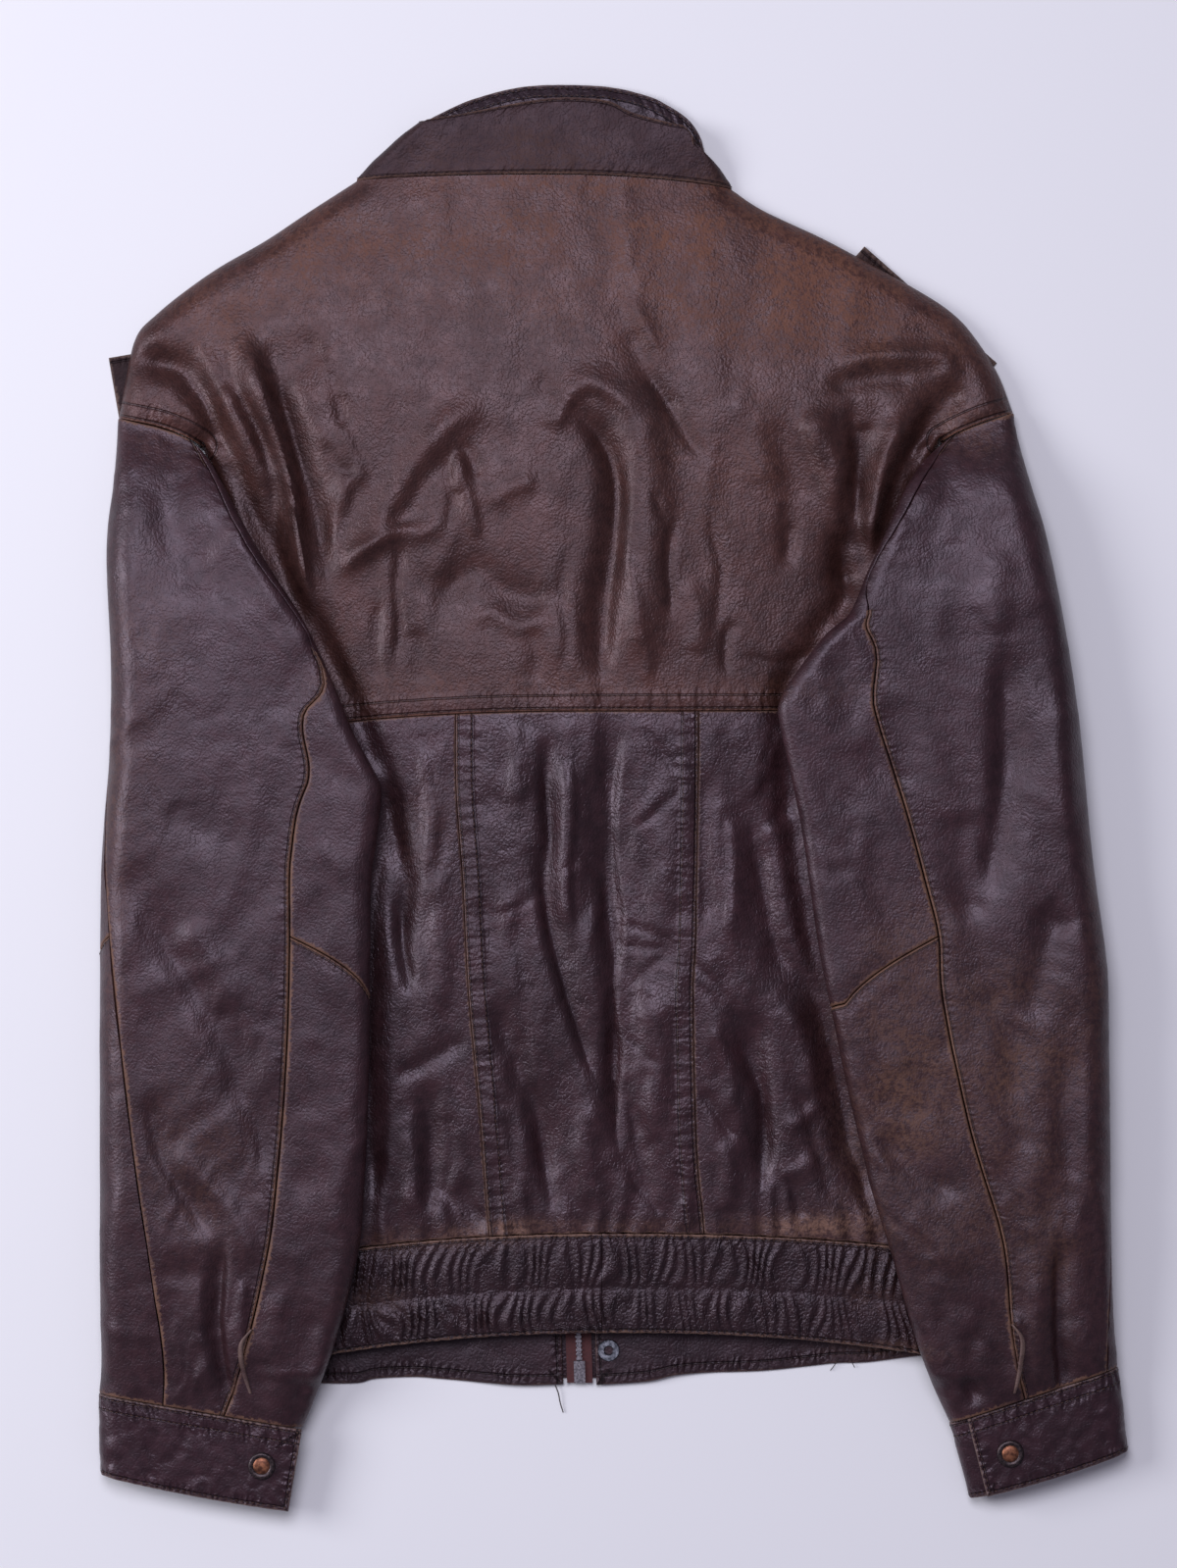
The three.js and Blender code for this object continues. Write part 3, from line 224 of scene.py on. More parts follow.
# The smaller folds of the back
smallFolds = [
    (-3.5, 5, [231, 395, 257, 431, 275, 464, 288, 500, 295, 536]), (2.5, 5, [183, 403, 206, 438, 219, 470]),
    (-2.5, 14, [262, 360, 300, 372, 330, 345]), (-2, 4, [336, 372, 345, 400, 350, 440]),
    (1.8, 5, [320, 430, 345, 470, 352, 530]), (1.5, 4, [344, 430, 362, 470, 372, 500]),
    (-1.2, 3, [332, 450, 350, 480, 368, 478]), (1.8, 5, [350, 570, 400, 550, 440, 540, 460, 520]),
    (2, 4, [462, 462, 466, 485, 464, 505]), (-1.8, 4, [470, 450, 482, 475, 485, 490]),
    (-2.5, 22, [440, 590, 500, 610, 560, 600]),
    (3, 7, [560, 445, 578, 412, 600, 392, 630, 408, 650, 432], {"lean": 0.4}),
    (-2.2, 8, [640, 330, 660, 380, 690, 430]), (1.2, 4, [640, 300, 655, 330, 670, 360]),
    (-0.8, 2.6, [683, 540, 681, 580, 684, 622]), (-0.8, 2.6, [742, 636, 739, 660, 741, 684]),
    (1.4, 6, [700, 590, 712, 630, 708, 670]), (-1.2, 3, [755, 668, 790, 676, 826, 666]),
    (1.4, 5, [575, 560, 578, 620, 574, 690]), (-1.8, 5, [800, 532, 803, 556, 800, 580]),
    (-1.6, 9, [780, 430, 800, 470, 812, 520]), (1.6, 12, [740, 400, 770, 440, 785, 500]),
    (3, 6, [850, 376, 884, 364, 930, 362, 965, 366, 962, 395, 950, 420]),
    (-2, 6, [840, 398, 880, 388, 935, 384]), (-3, 5, [878, 430, 880, 456, 876, 490]),
    (1.2, 4, [655, 640, 660, 670, 658, 700]), (-1.2, 5, [540, 640, 548, 670, 545, 700]),
    (-1.2, 6, [420, 640, 430, 670, 428, 700]),
    (2.4, 3.5, [641, 744, 632, 800, 629, 880, 637, 940, 630, 1020, 634, 1060, 632, 1120, 636, 1190],
     {"lean": 0.5, "ends": 0.08}),
    (-1.2, 2.6, [640, 1195, 655, 1215, 676, 1240]),
    (2.8, 4.5, [580, 768, 582, 830, 578, 900, 583, 960], {"lean": -0.4}),
    (2.2, 5, [525, 736, 527, 780, 522, 824]), (-2, 5, [600, 770, 603, 860, 597, 950]),
    (-3, 5, [540, 1090, 551, 1150, 556, 1190, 566, 1240]), (1.8, 6, [520, 900, 517, 960, 523, 1030]),
    (2.2, 6, [600, 1120, 596, 1170, 604, 1236]), (-2.5, 5, [430, 1118, 441, 1160, 440, 1238]),
    (2.2, 6, [444, 880, 449, 960, 446, 1040]), (-2.4, 5, [400, 830, 416, 900, 410, 960, 426, 1020]),
    (-1.8, 5, [400, 1100, 440, 1080, 476, 1055]), (2, 5, [410, 1150, 424, 1190, 420, 1240]),
    (-1.8, 4, [468, 1206, 480, 1230, 500, 1252]), (-2.2, 6, [721, 776, 718, 860, 722, 952]),
    (2.4, 5, [745, 828, 748, 890, 743, 962], {"lean": 0.3}),
    (-2.5, 4, [750, 1046, 762, 1082, 777, 1122, 782, 1170, 776, 1222]),
    (-1.6, 3, [714, 1108, 738, 1146, 752, 1162]), (1.8, 4, [798, 1152, 822, 1138, 842, 1118]),
    (1.6, 4, [798, 1202, 816, 1192, 834, 1178]), (-2.2, 12, [770, 800, 786, 815, 802, 838]),
    (2.2, 6, [800, 1020, 822, 1070, 828, 1130]), (2, 5, [735, 1160, 742, 1200, 736, 1240]),
    (-2, 4, [800, 1195, 812, 1222, 818, 1246]), (2, 8, [655, 1010, 668, 1080, 660, 1160]),
    (1.6, 8, [672, 830, 676, 900, 668, 970]), (-0.8, 2.4, [690, 963, 662, 950, 633, 940]),
    (-0.8, 2.4, [690, 965, 662, 967, 634, 963]), (-0.8, 2.4, [690, 967, 664, 984, 640, 1010]),
    (-1, 2.4, [694, 968, 728, 1003, 765, 1045]), (-0.8, 2.4, [708, 1000, 736, 1024, 764, 1044]),
    (-0.7, 2.2, [724, 1016, 744, 1034, 767, 1045]), (-0.8, 2.4, [636, 1050, 652, 1070, 671, 1086]),
    (-0.8, 2.4, [640, 850, 668, 828, 700, 800]), (-0.8, 2.4, [655, 740, 672, 764, 691, 790]),
    (-0.8, 2.4, [560, 896, 580, 882, 600, 865]), (-0.8, 2.4, [594, 869, 604, 884, 616, 896]),
    (-0.8, 2.4, [500, 936, 524, 926, 550, 912]),
    (-5, 9, [222, 450, 252, 512, 290, 580, 320, 640, 345, 690, 372, 750, 388, 800], {"ends": 0.1}),
    (-5, 8, [386, 780, 390, 830, 384, 900, 378, 1000, 376, 1100, 378, 1230], {"ends": 0.1}),
    (-5, 8, [952, 470, 905, 540, 870, 600, 835, 650, 802, 700, 796, 750], {"ends": 0.1}),
    (-6, 9, [800, 740, 812, 850, 825, 950, 848, 1040, 862, 1120, 880, 1200, 892, 1250], {"ends": 0.1}),
    (2.6, 3.2, [245, 335, 262, 380, 280, 430, 295, 480, 303, 530, 312, 590, 318, 635]),
    (-2.6, 3.2, [277, 378, 288, 420, 302, 470, 311, 520, 316, 570, 324, 620]),
    (-2.6, 3.6, [225, 382, 245, 402, 262, 432, 272, 470, 279, 510, 283, 560]),
    (2.2, 5, [208, 345, 218, 380, 235, 420, 252, 460, 262, 500]), (1.4, 4, [330, 360, 345, 390, 352, 410]),
    (1.6, 4, [346, 590, 341, 560, 344, 520, 358, 490, 375, 470]),
    (1.8, 4, [346, 588, 370, 565, 400, 545, 430, 535], {"lean": 0.4}),
    (-1.7, 3.2, [462, 452, 458, 480, 462, 510, 455, 540]),
    (1.8, 4, [468, 455, 474, 490, 482, 530, 488, 555]), (1.4, 5, [500, 520, 512, 505, 530, 495, 550, 490]),
    (-1.8, 3.6, [405, 545, 408, 570, 404, 600, 408, 640, 402, 680]),
    (1.2, 5, [396, 560, 398, 620, 392, 690]), (-1.5, 4, [388, 610, 384, 650, 388, 700]),
    (-1.9, 8, [415, 580, 450, 600, 490, 580, 510, 600, 545, 610, 580, 600]),
    (1.3, 5, [480, 640, 500, 625, 530, 640, 560, 625]),
    (-1.9, 3.6, [578, 560, 574, 600, 578, 650, 572, 690]),
    (-2.2, 4, [580, 400, 595, 425, 612, 450, 625, 475, 630, 510, 628, 560, 622, 600, 618, 650, 612, 700]),
    (1.6, 4, [640, 470, 643, 520, 640, 570, 648, 620, 652, 680]), (-1.2, 6, [545, 385, 560, 400, 566, 430]),
    (-2, 4, [654, 370, 668, 395, 685, 420, 703, 450, 720, 470]), (-1, 3, [668, 500, 672, 520, 680, 535]),
    (-1.5, 3.2, [690, 525, 683, 550, 680, 580, 684, 610, 678, 640]),
    (-1.1, 3, [722, 520, 728, 550, 735, 580, 732, 620, 728, 650]),
    (-1.5, 3.2, [752, 632, 742, 645, 738, 665, 740, 690]),
    (2.2, 3.6, [820, 415, 826, 440, 838, 480, 850, 510, 860, 550, 872, 590]),
    (-2.6, 4, [868, 400, 870, 440, 872, 490, 876, 540, 880, 585]),
    (2.2, 3.6, [905, 440, 898, 490, 890, 540, 888, 580]),
    (-3, 5, [955, 400, 945, 430, 930, 460, 912, 490, 902, 530]),
    (-3, 5, [848, 500, 858, 530, 862, 570, 858, 610]), (-1.4, 5, [800, 510, 806, 540, 803, 570]),
    (1.3, 4, [810, 665, 835, 650, 858, 632]), (-1.8, 4, [402, 905, 408, 940, 414, 980, 420, 1020]),
    (-1.3, 5, [390, 760, 398, 800, 404, 850, 398, 900]), (1.6, 4, [425, 750, 436, 800, 440, 850, 434, 900]),
    (-2.2, 3.6, [560, 748, 556, 800, 562, 860, 555, 910, 562, 960, 575, 1010, 592, 1060, 608, 1110],
     {"ends": 0.1}),
    (1.1, 4, [571, 770, 575, 830, 573, 900, 580, 960]),
    (-2.2, 5, [612, 760, 612, 850, 616, 950, 624, 1050, 628, 1150], {"ends": 0.1}),
    (-1.6, 3.2, [640, 1110, 648, 1150, 655, 1190, 672, 1235]),
    (-1.5, 4, [765, 1050, 775, 1090, 780, 1140, 777, 1200]),
    (1.6, 4, [722, 1040, 735, 1065, 745, 1100, 742, 1140]),
    (-1.2, 4.5, [772, 870, 782, 920, 790, 960, 806, 1000]),
    (-1.2, 4, [560, 1130, 570, 1170, 582, 1200, 588, 1240]), (-1.2, 3.6, [660, 1080, 654, 1130, 664, 1190]),
    (-1.2, 4, [810, 1100, 826, 1150, 840, 1200, 850, 1240]),
    (1.6, 4, [505, 1120, 512, 1160, 524, 1200, 528, 1240]),
    (-1.5, 3.6, [455, 1130, 462, 1170, 456, 1210, 464, 1240]),
]

smoothRows = {}
cornerOf = {"leftX": lambda row: row[0][0], "leftY": lambda row: row[0][1], "rightX": lambda row: row[1][0],
            "rightY": lambda row: row[1][1], "middle": lambda row: row[2]}
for corner, take in cornerOf.items():
    parts, keys = [], []
    for start, end in zip(body["corners"][:-1], body["corners"][1:]):
        curve = spline([take(row) for row in bodyRows[start:end + 1]], 6)
        parts += list(curve[:-1])
        keys += list(np.linspace(start, end, len(curve))[:-1])
    smoothRows[corner] = (keys + [34], parts + [take(bodyRows[-1])])


def bodyEnds(r):
    return [np.interp(r, *smoothRows[corner]) for corner in cornerOf]


rowsOf = np.arange(0, 34.01, 0.125)
ends = bodyEnds(rowsOf)
leftEdge, rightEdge = np.stack(ends[0:2], 1), np.stack(ends[2:4], 1)
floorEdges = [edge[part] for edge in (leftEdge, rightEdge) for part in (slice(0, 65), slice(104, 273))]
armholes = [leftEdge[64:105], rightEdge[64:105]]
sideLeft, sideRight = leftEdge[104:], rightEdge[104:]

# What lies on the floor is lifted over the flap and the shoulder straps under it.
flap = {"left": 20, "right": 30, "foot": -334, "head": 300, "hem": (-19.5, -337), "neck": (-38, 270)}
lift = {"layer": 1.9, "margin": 21, "fade": 30}
straps = {
    "left": {"start": (-286, 228), "end": (-182, 246), "width": 48},
    "right": {"start": (206, 233), "end": (130, 300), "width": 42},
}


def centreX(y):
    return lerp(flap["hem"][0], flap["neck"][0], (y - flap["hem"][1]) / (flap["neck"][1] - flap["hem"][1]))


def floorLift(x, y):
    up = np.zeros(np.shape(x))
    for strap in straps.values():
        distance = nearest([strap["start"], strap["end"]], x, y)[0]
        up = np.maximum(up, 1 - smooth((distance - strap["width"] * 0.58 - lift["margin"]) / lift["fade"]))
    centre = centreX(y)
    off = np.maximum.reduce([centre - flap["left"] - x, x - centre - flap["right"], flap["foot"] - 6 - y,
                             y - flap["head"] - 6])
    return lift["layer"] * np.maximum(up, 1 - smooth((off - lift["margin"]) / lift["fade"]))


def backBase(x, y, left, right, folds):
    a = clamp01(np.abs(2 * (x - left) / (right - left) - 1))
    low, high = at(body["sideHeight"], y), at(body["middleHeight"], y)
    edge = smooth(np.minimum(x - left, right - x) / body["foldFade"])
    folded = foldField(folds, x, y) * lerp(body["edgeFold"], 1, edge)
    return softMax(low + (high - low) * (1 - a * a) + folded, body["lowest"], body["lowestBlend"])


def backY(r, x):
    leftX, leftY, rightX, rightY, middle = bodyEnds(r)
    centre = (leftX + rightX) / 2
    u = (x - centre) / (rightX - centre)
    return middle + (np.where(u < 0, leftY, rightY) - middle) * np.abs(u) ** body["endCurve"]


def backSurface(r, x, folds, raised):
    leftX, _, rightX, _, _ = bodyEnds(r)
    y = backY(r, x)
    inward = np.minimum.reduce([nearest(path, x, y)[0] for path in floorEdges])
    up = rise(inward / body["sideRound"])
    z = floorLift(x, y) * (1 - up) + (backBase(x, y, leftX, rightX, folds) + raised) * up
    return np.stack([x, y, z], -1)


# The back's height at any place of the plan, for what lies on it, a little above its own folds. It
# fades out at the head and the foot of the sides and runs out beside them. It is 0 outside.
bed = {"above": 2.2, "headFade": 10, "foot": -328, "footFade": 12, "beside": 34}
hemBed = {"height": 2.4, "side": 197, "low": -341, "fade": 6, "high": -300, "highFade": 10}


def backTop(x, y):
    left = np.interp(-y, -sideLeft[:, 1], sideLeft[:, 0])
    right = np.interp(-y, -sideRight[:, 1], sideRight[:, 0])
    inward = np.minimum(x - left, right - x)
    headEnd = np.where(x < 0, sideLeft[0, 1], sideRight[0, 1])
    within = smooth((headEnd - y) / bed["headFade"]) * (1 - smooth((bed["foot"] - y) / bed["footFade"]))
    height = (backBase(np.clip(x, left, right), y, left, right, mainFolds) + bed["above"]) * within
    return height * smooth((inward + bed["beside"]) / (bed["beside"] + 1))


# Meshes
def makeMesh(name, points, quads, attributes, material):
    mesh = bpy.data.meshes.new(name)
    mesh.vertices.add(len(points))
    points = np.array(points, float)
    points[:, 2] = np.maximum(points[:, 2], 0)  # nothing goes into the floor
    mesh.vertices.foreach_set("co", (points * 0.001).astype(np.float32).ravel())
    mesh.loops.add(quads.size)
    mesh.loops.foreach_set("vertex_index", quads.astype(np.int32).ravel())
    mesh.polygons.add(len(quads))
    mesh.polygons.foreach_set("loop_start", np.arange(0, quads.size, quads.shape[1], dtype=np.int32))
    mesh.polygons.foreach_set("use_smooth", np.ones(len(quads), bool))
    mesh.update(calc_edges=True)
    for key, values in attributes.items():
        layer = mesh.attributes.new(key, "FLOAT", "POINT")
        layer.data.foreach_set("value", np.asarray(values, np.float32).ravel())
    mesh.set_sharp_from_angle(angle=math.radians(55))
    mesh.materials.append(material)
    thing = bpy.data.objects.new(name, mesh)
    scene.collection.objects.link(thing)
    return thing


# What each sheet of leather or cloth was cut to: its own width and length along the surface, and its
# area. They are printed at the end, once the stitches that go with each piece are there.
cloths, rowsOn, stitched = {}, {}, {}


def noteCut(node, thing, p):
    runs = borderRuns(p)
    across, down = np.diff(p, axis=1)[:-1], np.diff(p, axis=0)[:, :-1]
    area = np.linalg.norm(np.cross(across, down), axis=-1).sum()
    cloths[node] = (thing, runs["over"][:, -1].max() * 0.001, runs["down"][-1].max() * 0.001, area * 1e-6)


def finishPiece(thing, nodes=()):
    if nodes:
        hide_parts(*nodes)
    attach(thing, "root")
    return thing


# The wall of a cut piece, its cut sizes, and the surface that its stitches lie on
def finishCloth(name, outer, inner, values, material, over):
    made = wallMesh(name + "_wall", outer, inner, values, material)
    noteCut(name, made, outer)
    stitched[name] = outer + over
    return finishPiece(made, [name])


def gridNormals(p):
    normal = np.cross(np.gradient(p, axis=0), np.gradient(p, axis=1))
    return normal / np.maximum(np.linalg.norm(normal, axis=-1, keepdims=True), 1e-9)


# How far each point of a grid is from its four borders, measured along its rows and columns.
def borderRuns(p):
    steps = [np.linalg.norm(np.diff(p, axis=axis), axis=-1) for axis in (0, 1)]
    down = np.pad(np.cumsum(steps[0], 0), ((1, 0), (0, 0)))
    over = np.pad(np.cumsum(steps[1], 1), ((0, 0), (1, 0)))
    return {"top": down, "bottom": down[-1:] - down, "left": over, "right": over[:, -1:] - over,
            "down": down, "over": over}


# A closed wall between a grid of outer points and the same moved in, kept above what it rests on.
def wallMesh(name, outer, inner, attributes, material):
    rows, columns = outer.shape[:2]
    index = np.arange(rows * columns).reshape(rows, columns)
    low = index + rows * columns

    def strip(a, b):  # quads between two lines of points
        return np.stack([a[:-1], b[:-1], b[1:], a[1:]], -1).reshape(-1, 4)

    quads = [np.stack([index[:-1, :-1], index[1:, :-1], index[1:, 1:], index[:-1, 1:]], -1).reshape(-1, 4),
             np.stack([low[:-1, :-1], low[:-1, 1:], low[1:, 1:], low[1:, :-1]], -1).reshape(-1, 4),
             strip(low[:, 0], index[:, 0])[:, ::-1], strip(index[:, -1], low[:, -1])[:, ::-1],
             strip(index[0], low[0])[:, ::-1], strip(low[-1], index[-1])[:, ::-1]]
    points = np.concatenate([outer.reshape(-1, 3), inner.reshape(-1, 3)])
    both = {key: np.concatenate([value.ravel(), value.ravel()]) for key, value in attributes.items()}
    return makeMesh(name, points, np.concatenate(quads), both, material)


relief = {"edgeRound": 0.6, "edgeWidth": 1.3, "pucker": 0.3, "puckerEvery": 9.0, "puckerWidth": 4.5,
          "farOff": 99.0}


# Turned seam edges and the small puckers that sewing draws in. The attributes say how far each point
# is from its worn edges and from the borders that rows of stitches follow, and how far along them.
def sewnRelief(p, borders, rows, pucker=1.0, seed=3, others=()):
    runs = borderRuns(p)
    height = np.zeros(p.shape[:2])
    values = {key: np.full(p.shape[:2], relief["farOff"]) for key in ("seam", "rows", "others")}
    values["along"] = runs["over"]
    for border in borders:
        values["seam"] = np.minimum(values["seam"], runs[border])
        height -= relief["edgeRound"] * (1 - rise(runs[border] / relief["edgeWidth"]))
    for key, group in (("rows", rows), ("others", others)):
        for border, offset in group:
            d = runs[border]
            run = runs["over"] if border in ("top", "bottom") else runs["down"]
            closer = d < np.minimum(values["rows"], values["others"])
            values["along"] = np.where(closer, run, values["along"])
            values[key] = np.minimum(values[key], d)
            phase = run / relief["puckerEvery"] + 0.9 * noise(run / 23.0, d / 30.0, seed)
            beside = np.exp(-((d - offset) / relief["puckerWidth"]) ** 2)
            height += pucker * relief["pucker"] * np.sin(2 * np.pi * phase) * beside
    return height, values


# Points of a grid where a border is a given distance off, for a row of stitches.
def stitchLine(p, border, offset, trim=1.5):
    runs = borderRuns(p)[border]
    lines = []
    if border in ("top", "bottom"):
        grid, field = p, runs
    else:
        grid, field = p.transpose(1, 0, 2), runs.T
    for j in range(grid.shape[1]):
        order = np.argsort(field[:, j])
        if field[order[-1], j] < offset:
            continue
        lines.append([np.interp(offset, field[order, j], grid[order, j, k]) for k in range(3)])
    line = np.array(lines)
    run = np.concatenate([[0], np.cumsum(np.linalg.norm(np.diff(line, axis=0), axis=-1))])
    keep = (run >= trim) & (run <= run[-1] - trim)
    return line[keep]


# Materials
def nodeOf(tree, kind, inputs=None, **settings):
    made = tree.nodes.new(kind)
    for key, value in settings.items():
        setattr(made, key, value)
    for key, value in (inputs or {}).items():
        if isinstance(value, bpy.types.NodeSocket):
            tree.links.new(value, made.inputs[key])
        else:
            made.inputs[key].default_value = value
    return made


def mathOf(tree, operation, a, b=None, c=None, clamp=False):
    inputs = {i: value for i, value in enumerate((a, b, c)) if value is not None}
    return nodeOf(tree, "ShaderNodeMath", inputs, operation=operation, use_clamp=clamp).outputs[0]


def rangeOf(tree, value, low, high, toLow=0.0, toHigh=1.0):
    made = nodeOf(tree, "ShaderNodeMapRange", {"Value": value, "From Min": low, "From Max": high,
                                               "To Min": toLow, "To Max": toHigh})
    made.interpolation_type = "SMOOTHSTEP"
    return made.outputs[0]


def noiseOf(tree, where, scale, detail=4.0, rough=0.55, distortion=0.0):
    inputs = {"Vector": where, "Scale": scale, "Detail": detail, "Roughness": rough,
              "Distortion": distortion}
    return nodeOf(tree, "ShaderNodeTexNoise", inputs).outputs["Fac"]


def newMix(tree, fac, a, b, blend="MIX"):
    made = tree.nodes.new("ShaderNodeMix")
    made.data_type, made.blend_type = "RGBA", blend
    for socket, value in ((made.inputs[0], fac), (made.inputs[6], a), (made.inputs[7], b)):
        if isinstance(value, bpy.types.NodeSocket):
            tree.links.new(value, socket)
        else:
            socket.default_value = value
    return made.outputs[2]


def whereOf(tree):
    return nodeOf(tree, "ShaderNodeTexCoord").outputs["Object"]


def attributeOf(tree, name):
    return nodeOf(tree, "ShaderNodeAttribute", attribute_name=name).outputs["Fac"]


# A group whose sockets are numbers, unless an input's value names another kind
def newGroup(name, inputs, outputs, kind="ShaderNodeTree"):
    tree = bpy.data.node_groups.new(name, kind)
    for key, value in inputs.items():
        kindOf = value if isinstance(value, str) else "NodeSocketFloat"
        socket = tree.interface.new_socket(key, in_out="INPUT", socket_type=kindOf)
        if kindOf == "NodeSocketFloat":
            socket.default_value = value
    for key in outputs:
        socketKind = "NodeSocketFloat" if kind == "ShaderNodeTree" else "NodeSocketGeometry"
        tree.interface.new_socket(key, in_out="OUTPUT", socket_type=socketKind)
    return tree, nodeOf(tree, "NodeGroupInput"), nodeOf(tree, "NodeGroupOutput")


# How fine each layer of the leather is, as cells or waves for each metre
grainForm = {"bend": 260.0, "bendBy": 0.0022, "pebbles": 780.0, "creases": 300.0, "creaseStretch": 0.5,
             "breaks": 45.0, "swell": 75.0}
wearForm = {"ragged": 420.0, "patches": 38.0, "clouds": 26.0, "flecks": 320.0, "specks": 900.0}
# The stitch-groove values set the painted shade that darkens the colour along each row of stitches.
lookForm = {"mottle": 17.0, "fine": 160.0, "sheen": 60.0, "speckle": 0.6, "grooveShade": 0.35, "grooveShadeMix": 0.75,
            "paleEdge": (1.35, 1.5, 1.6), "coatRough": 0.36}


# Grain: pebbles a little over 1 mm across, fine creases between them and broad soft unevenness.
def grainGroup():
    tree, given, out = newGroup("leatherGrain", {"Pebble": 1.0, "Creases": 1.0, "Swell": 1.0}, ["Height"])
    where = whereOf(tree)
    bend = nodeOf(tree, "ShaderNodeTexNoise", {"Vector": where, "Scale": grainForm["bend"], "Detail": 2.0})
    warped = nodeOf(tree, "ShaderNodeVectorMath", {0: bend.outputs["Color"], 1: (grainForm["bendBy"],) * 3},
                    operation="MULTIPLY")
    bent = nodeOf(tree, "ShaderNodeVectorMath", {0: where, 1: warped.outputs[0]},
                  operation="ADD").outputs[0]
    pebble = nodeOf(tree, "ShaderNodeTexVoronoi", {"Vector": bent, "Scale": grainForm["pebbles"]},
                    feature="SMOOTH_F1")
    pebbleHeight = rangeOf(tree, pebble.outputs["Distance"], 0.15, 0.75, 1.0, 0.0)
    longer = nodeOf(tree, "ShaderNodeVectorMath", {0: bent, 1: (1.0, grainForm["creaseStretch"], 1.0)},
                    operation="MULTIPLY").outputs[0]
    cells = nodeOf(tree, "ShaderNodeTexVoronoi", {"Vector": longer, "Scale": grainForm["creases"]},
                   feature="DISTANCE_TO_EDGE")
    crease = rangeOf(tree, cells.outputs["Distance"], 0.0, 0.12)
    broken = rangeOf(tree, noiseOf(tree, where, grainForm["breaks"], 3.0), 0.36, 0.6)
    creased = mathOf(tree, "MULTIPLY_ADD", mathOf(tree, "SUBTRACT", crease, 1.0), broken, 0.0)
    swell = noiseOf(tree, where, grainForm["swell"], 3.0, 0.5, 0.4)
    height = mathOf(tree, "MULTIPLY", pebbleHeight, given.outputs["Pebble"])
    height = mathOf(tree, "MULTIPLY_ADD", creased, given.outputs["Creases"], height)
    height = mathOf(tree, "MULTIPLY_ADD", swell, given.outputs["Swell"], height)
    tree.links.new(height, out.inputs["Height"])
    return tree


# Wear: rubbed through at the sewn edges and where the attribute "worn" says, broken up by noise.
def wearGroup():
    tree, given, out = newGroup("leatherWear", {"Edge width mm": 1.6, "Edge wear": 0.8, "Patch wear": 1.0},
                                ["Edge", "Patch", "Speckle"])
    where, distance, worn = whereOf(tree), attributeOf(tree, "seam"), attributeOf(tree, "worn")
    ragged = noiseOf(tree, where, wearForm["ragged"], 3.0, 0.6)
    patches = noiseOf(tree, where, wearForm["patches"], 4.0, 0.6)
    limit = mathOf(tree, "MULTIPLY", given.outputs["Edge width mm"],
                   rangeOf(tree, ragged, 0.3, 0.7, 0.35, 1.5))
    near = mathOf(tree, "SUBTRACT", 1.0, mathOf(tree, "DIVIDE", distance, limit), clamp=True)
    near = rangeOf(tree, near, 0.0, 0.6)
    uneven = mathOf(tree, "MULTIPLY", rangeOf(tree, patches, 0.3, 0.6, 0.25, 1.0),
                    given.outputs["Edge wear"])
    edge = mathOf(tree, "MULTIPLY", near, uneven, clamp=True)
    tree.links.new(edge, out.inputs["Edge"])
    cloud = noiseOf(tree, where, wearForm["clouds"], 5.0, 0.62, 0.3)
    patch = mathOf(tree, "MULTIPLY", worn, rangeOf(tree, cloud, 0.3, 0.7, 0.25, 1.25))
    flecks = rangeOf(tree, noiseOf(tree, where, wearForm["flecks"], 4.0, 0.7), 0.38, 0.62, 0.25, 1.15)
    patch = mathOf(tree, "MULTIPLY", patch, flecks)
    patch = mathOf(tree, "MULTIPLY", patch, given.outputs["Patch wear"], clamp=True)
    tree.links.new(patch, out.inputs["Patch"])
    specks = rangeOf(tree, noiseOf(tree, where, wearForm["specks"], 2.0, 0.7), 0.55, 0.72)
    tree.links.new(mathOf(tree, "MULTIPLY", specks, patch), out.inputs["Speckle"])
    return tree


# Rows of stitches: the mask of a groove with the threads in it, which the leathers darken as painted shade,
# and the short puckers across each row.
def sewnGroup():
    tree, given, out = newGroup("sewnLines", {
        "First mm": 2.0, "Second mm": -9.0, "Other mm": -9.0, "Every mm": 4.2, "Pucker": 0.3},
        ["Line", "Height"])
    where = whereOf(tree)
    rows, others, run = (attributeOf(tree, key) for key in ("rows", "others", "along"))
    lines, bands = [], []
    for distance, key in ((rows, "First mm"), (rows, "Second mm"), (others, "Other mm")):
        off = mathOf(tree, "ABSOLUTE", mathOf(tree, "SUBTRACT", distance, given.outputs[key]))
        lines.append(rangeOf(tree, off, 0.2, 0.95, 1.0, 0.0))
        bands.append(rangeOf(tree, off, 0.6, 5.2, 1.0, 0.0))
    line = mathOf(tree, "MAXIMUM", mathOf(tree, "MAXIMUM", lines[0], lines[1]), lines[2])
    near = mathOf(tree, "MAXIMUM", mathOf(tree, "MAXIMUM", bands[0], bands[1]), bands[2])
    shift = mathOf(tree, "MULTIPLY", noiseOf(tree, where, 90.0, 3.0, 0.6), 2.6)
    phase = mathOf(tree, "ADD", mathOf(tree, "DIVIDE", run, given.outputs["Every mm"]), shift)
    wave = mathOf(tree, "SINE", mathOf(tree, "MULTIPLY", phase, 2 * math.pi))
    uneven = rangeOf(tree, noiseOf(tree, where, 45.0, 2.0), 0.35, 0.65, 0.2, 1.3)
    pucker = mathOf(tree, "MULTIPLY", mathOf(tree, "MULTIPLY", wave, near),
                    mathOf(tree, "MULTIPLY", uneven, given.outputs["Pucker"]))
    tree.links.new(line, out.inputs["Line"])
    tree.links.new(mathOf(tree, "MULTIPLY_ADD", line, -0.5, pucker), out.inputs["Height"])
    return tree


grain, wear, sewn = grainGroup(), wearGroup(), sewnGroup()


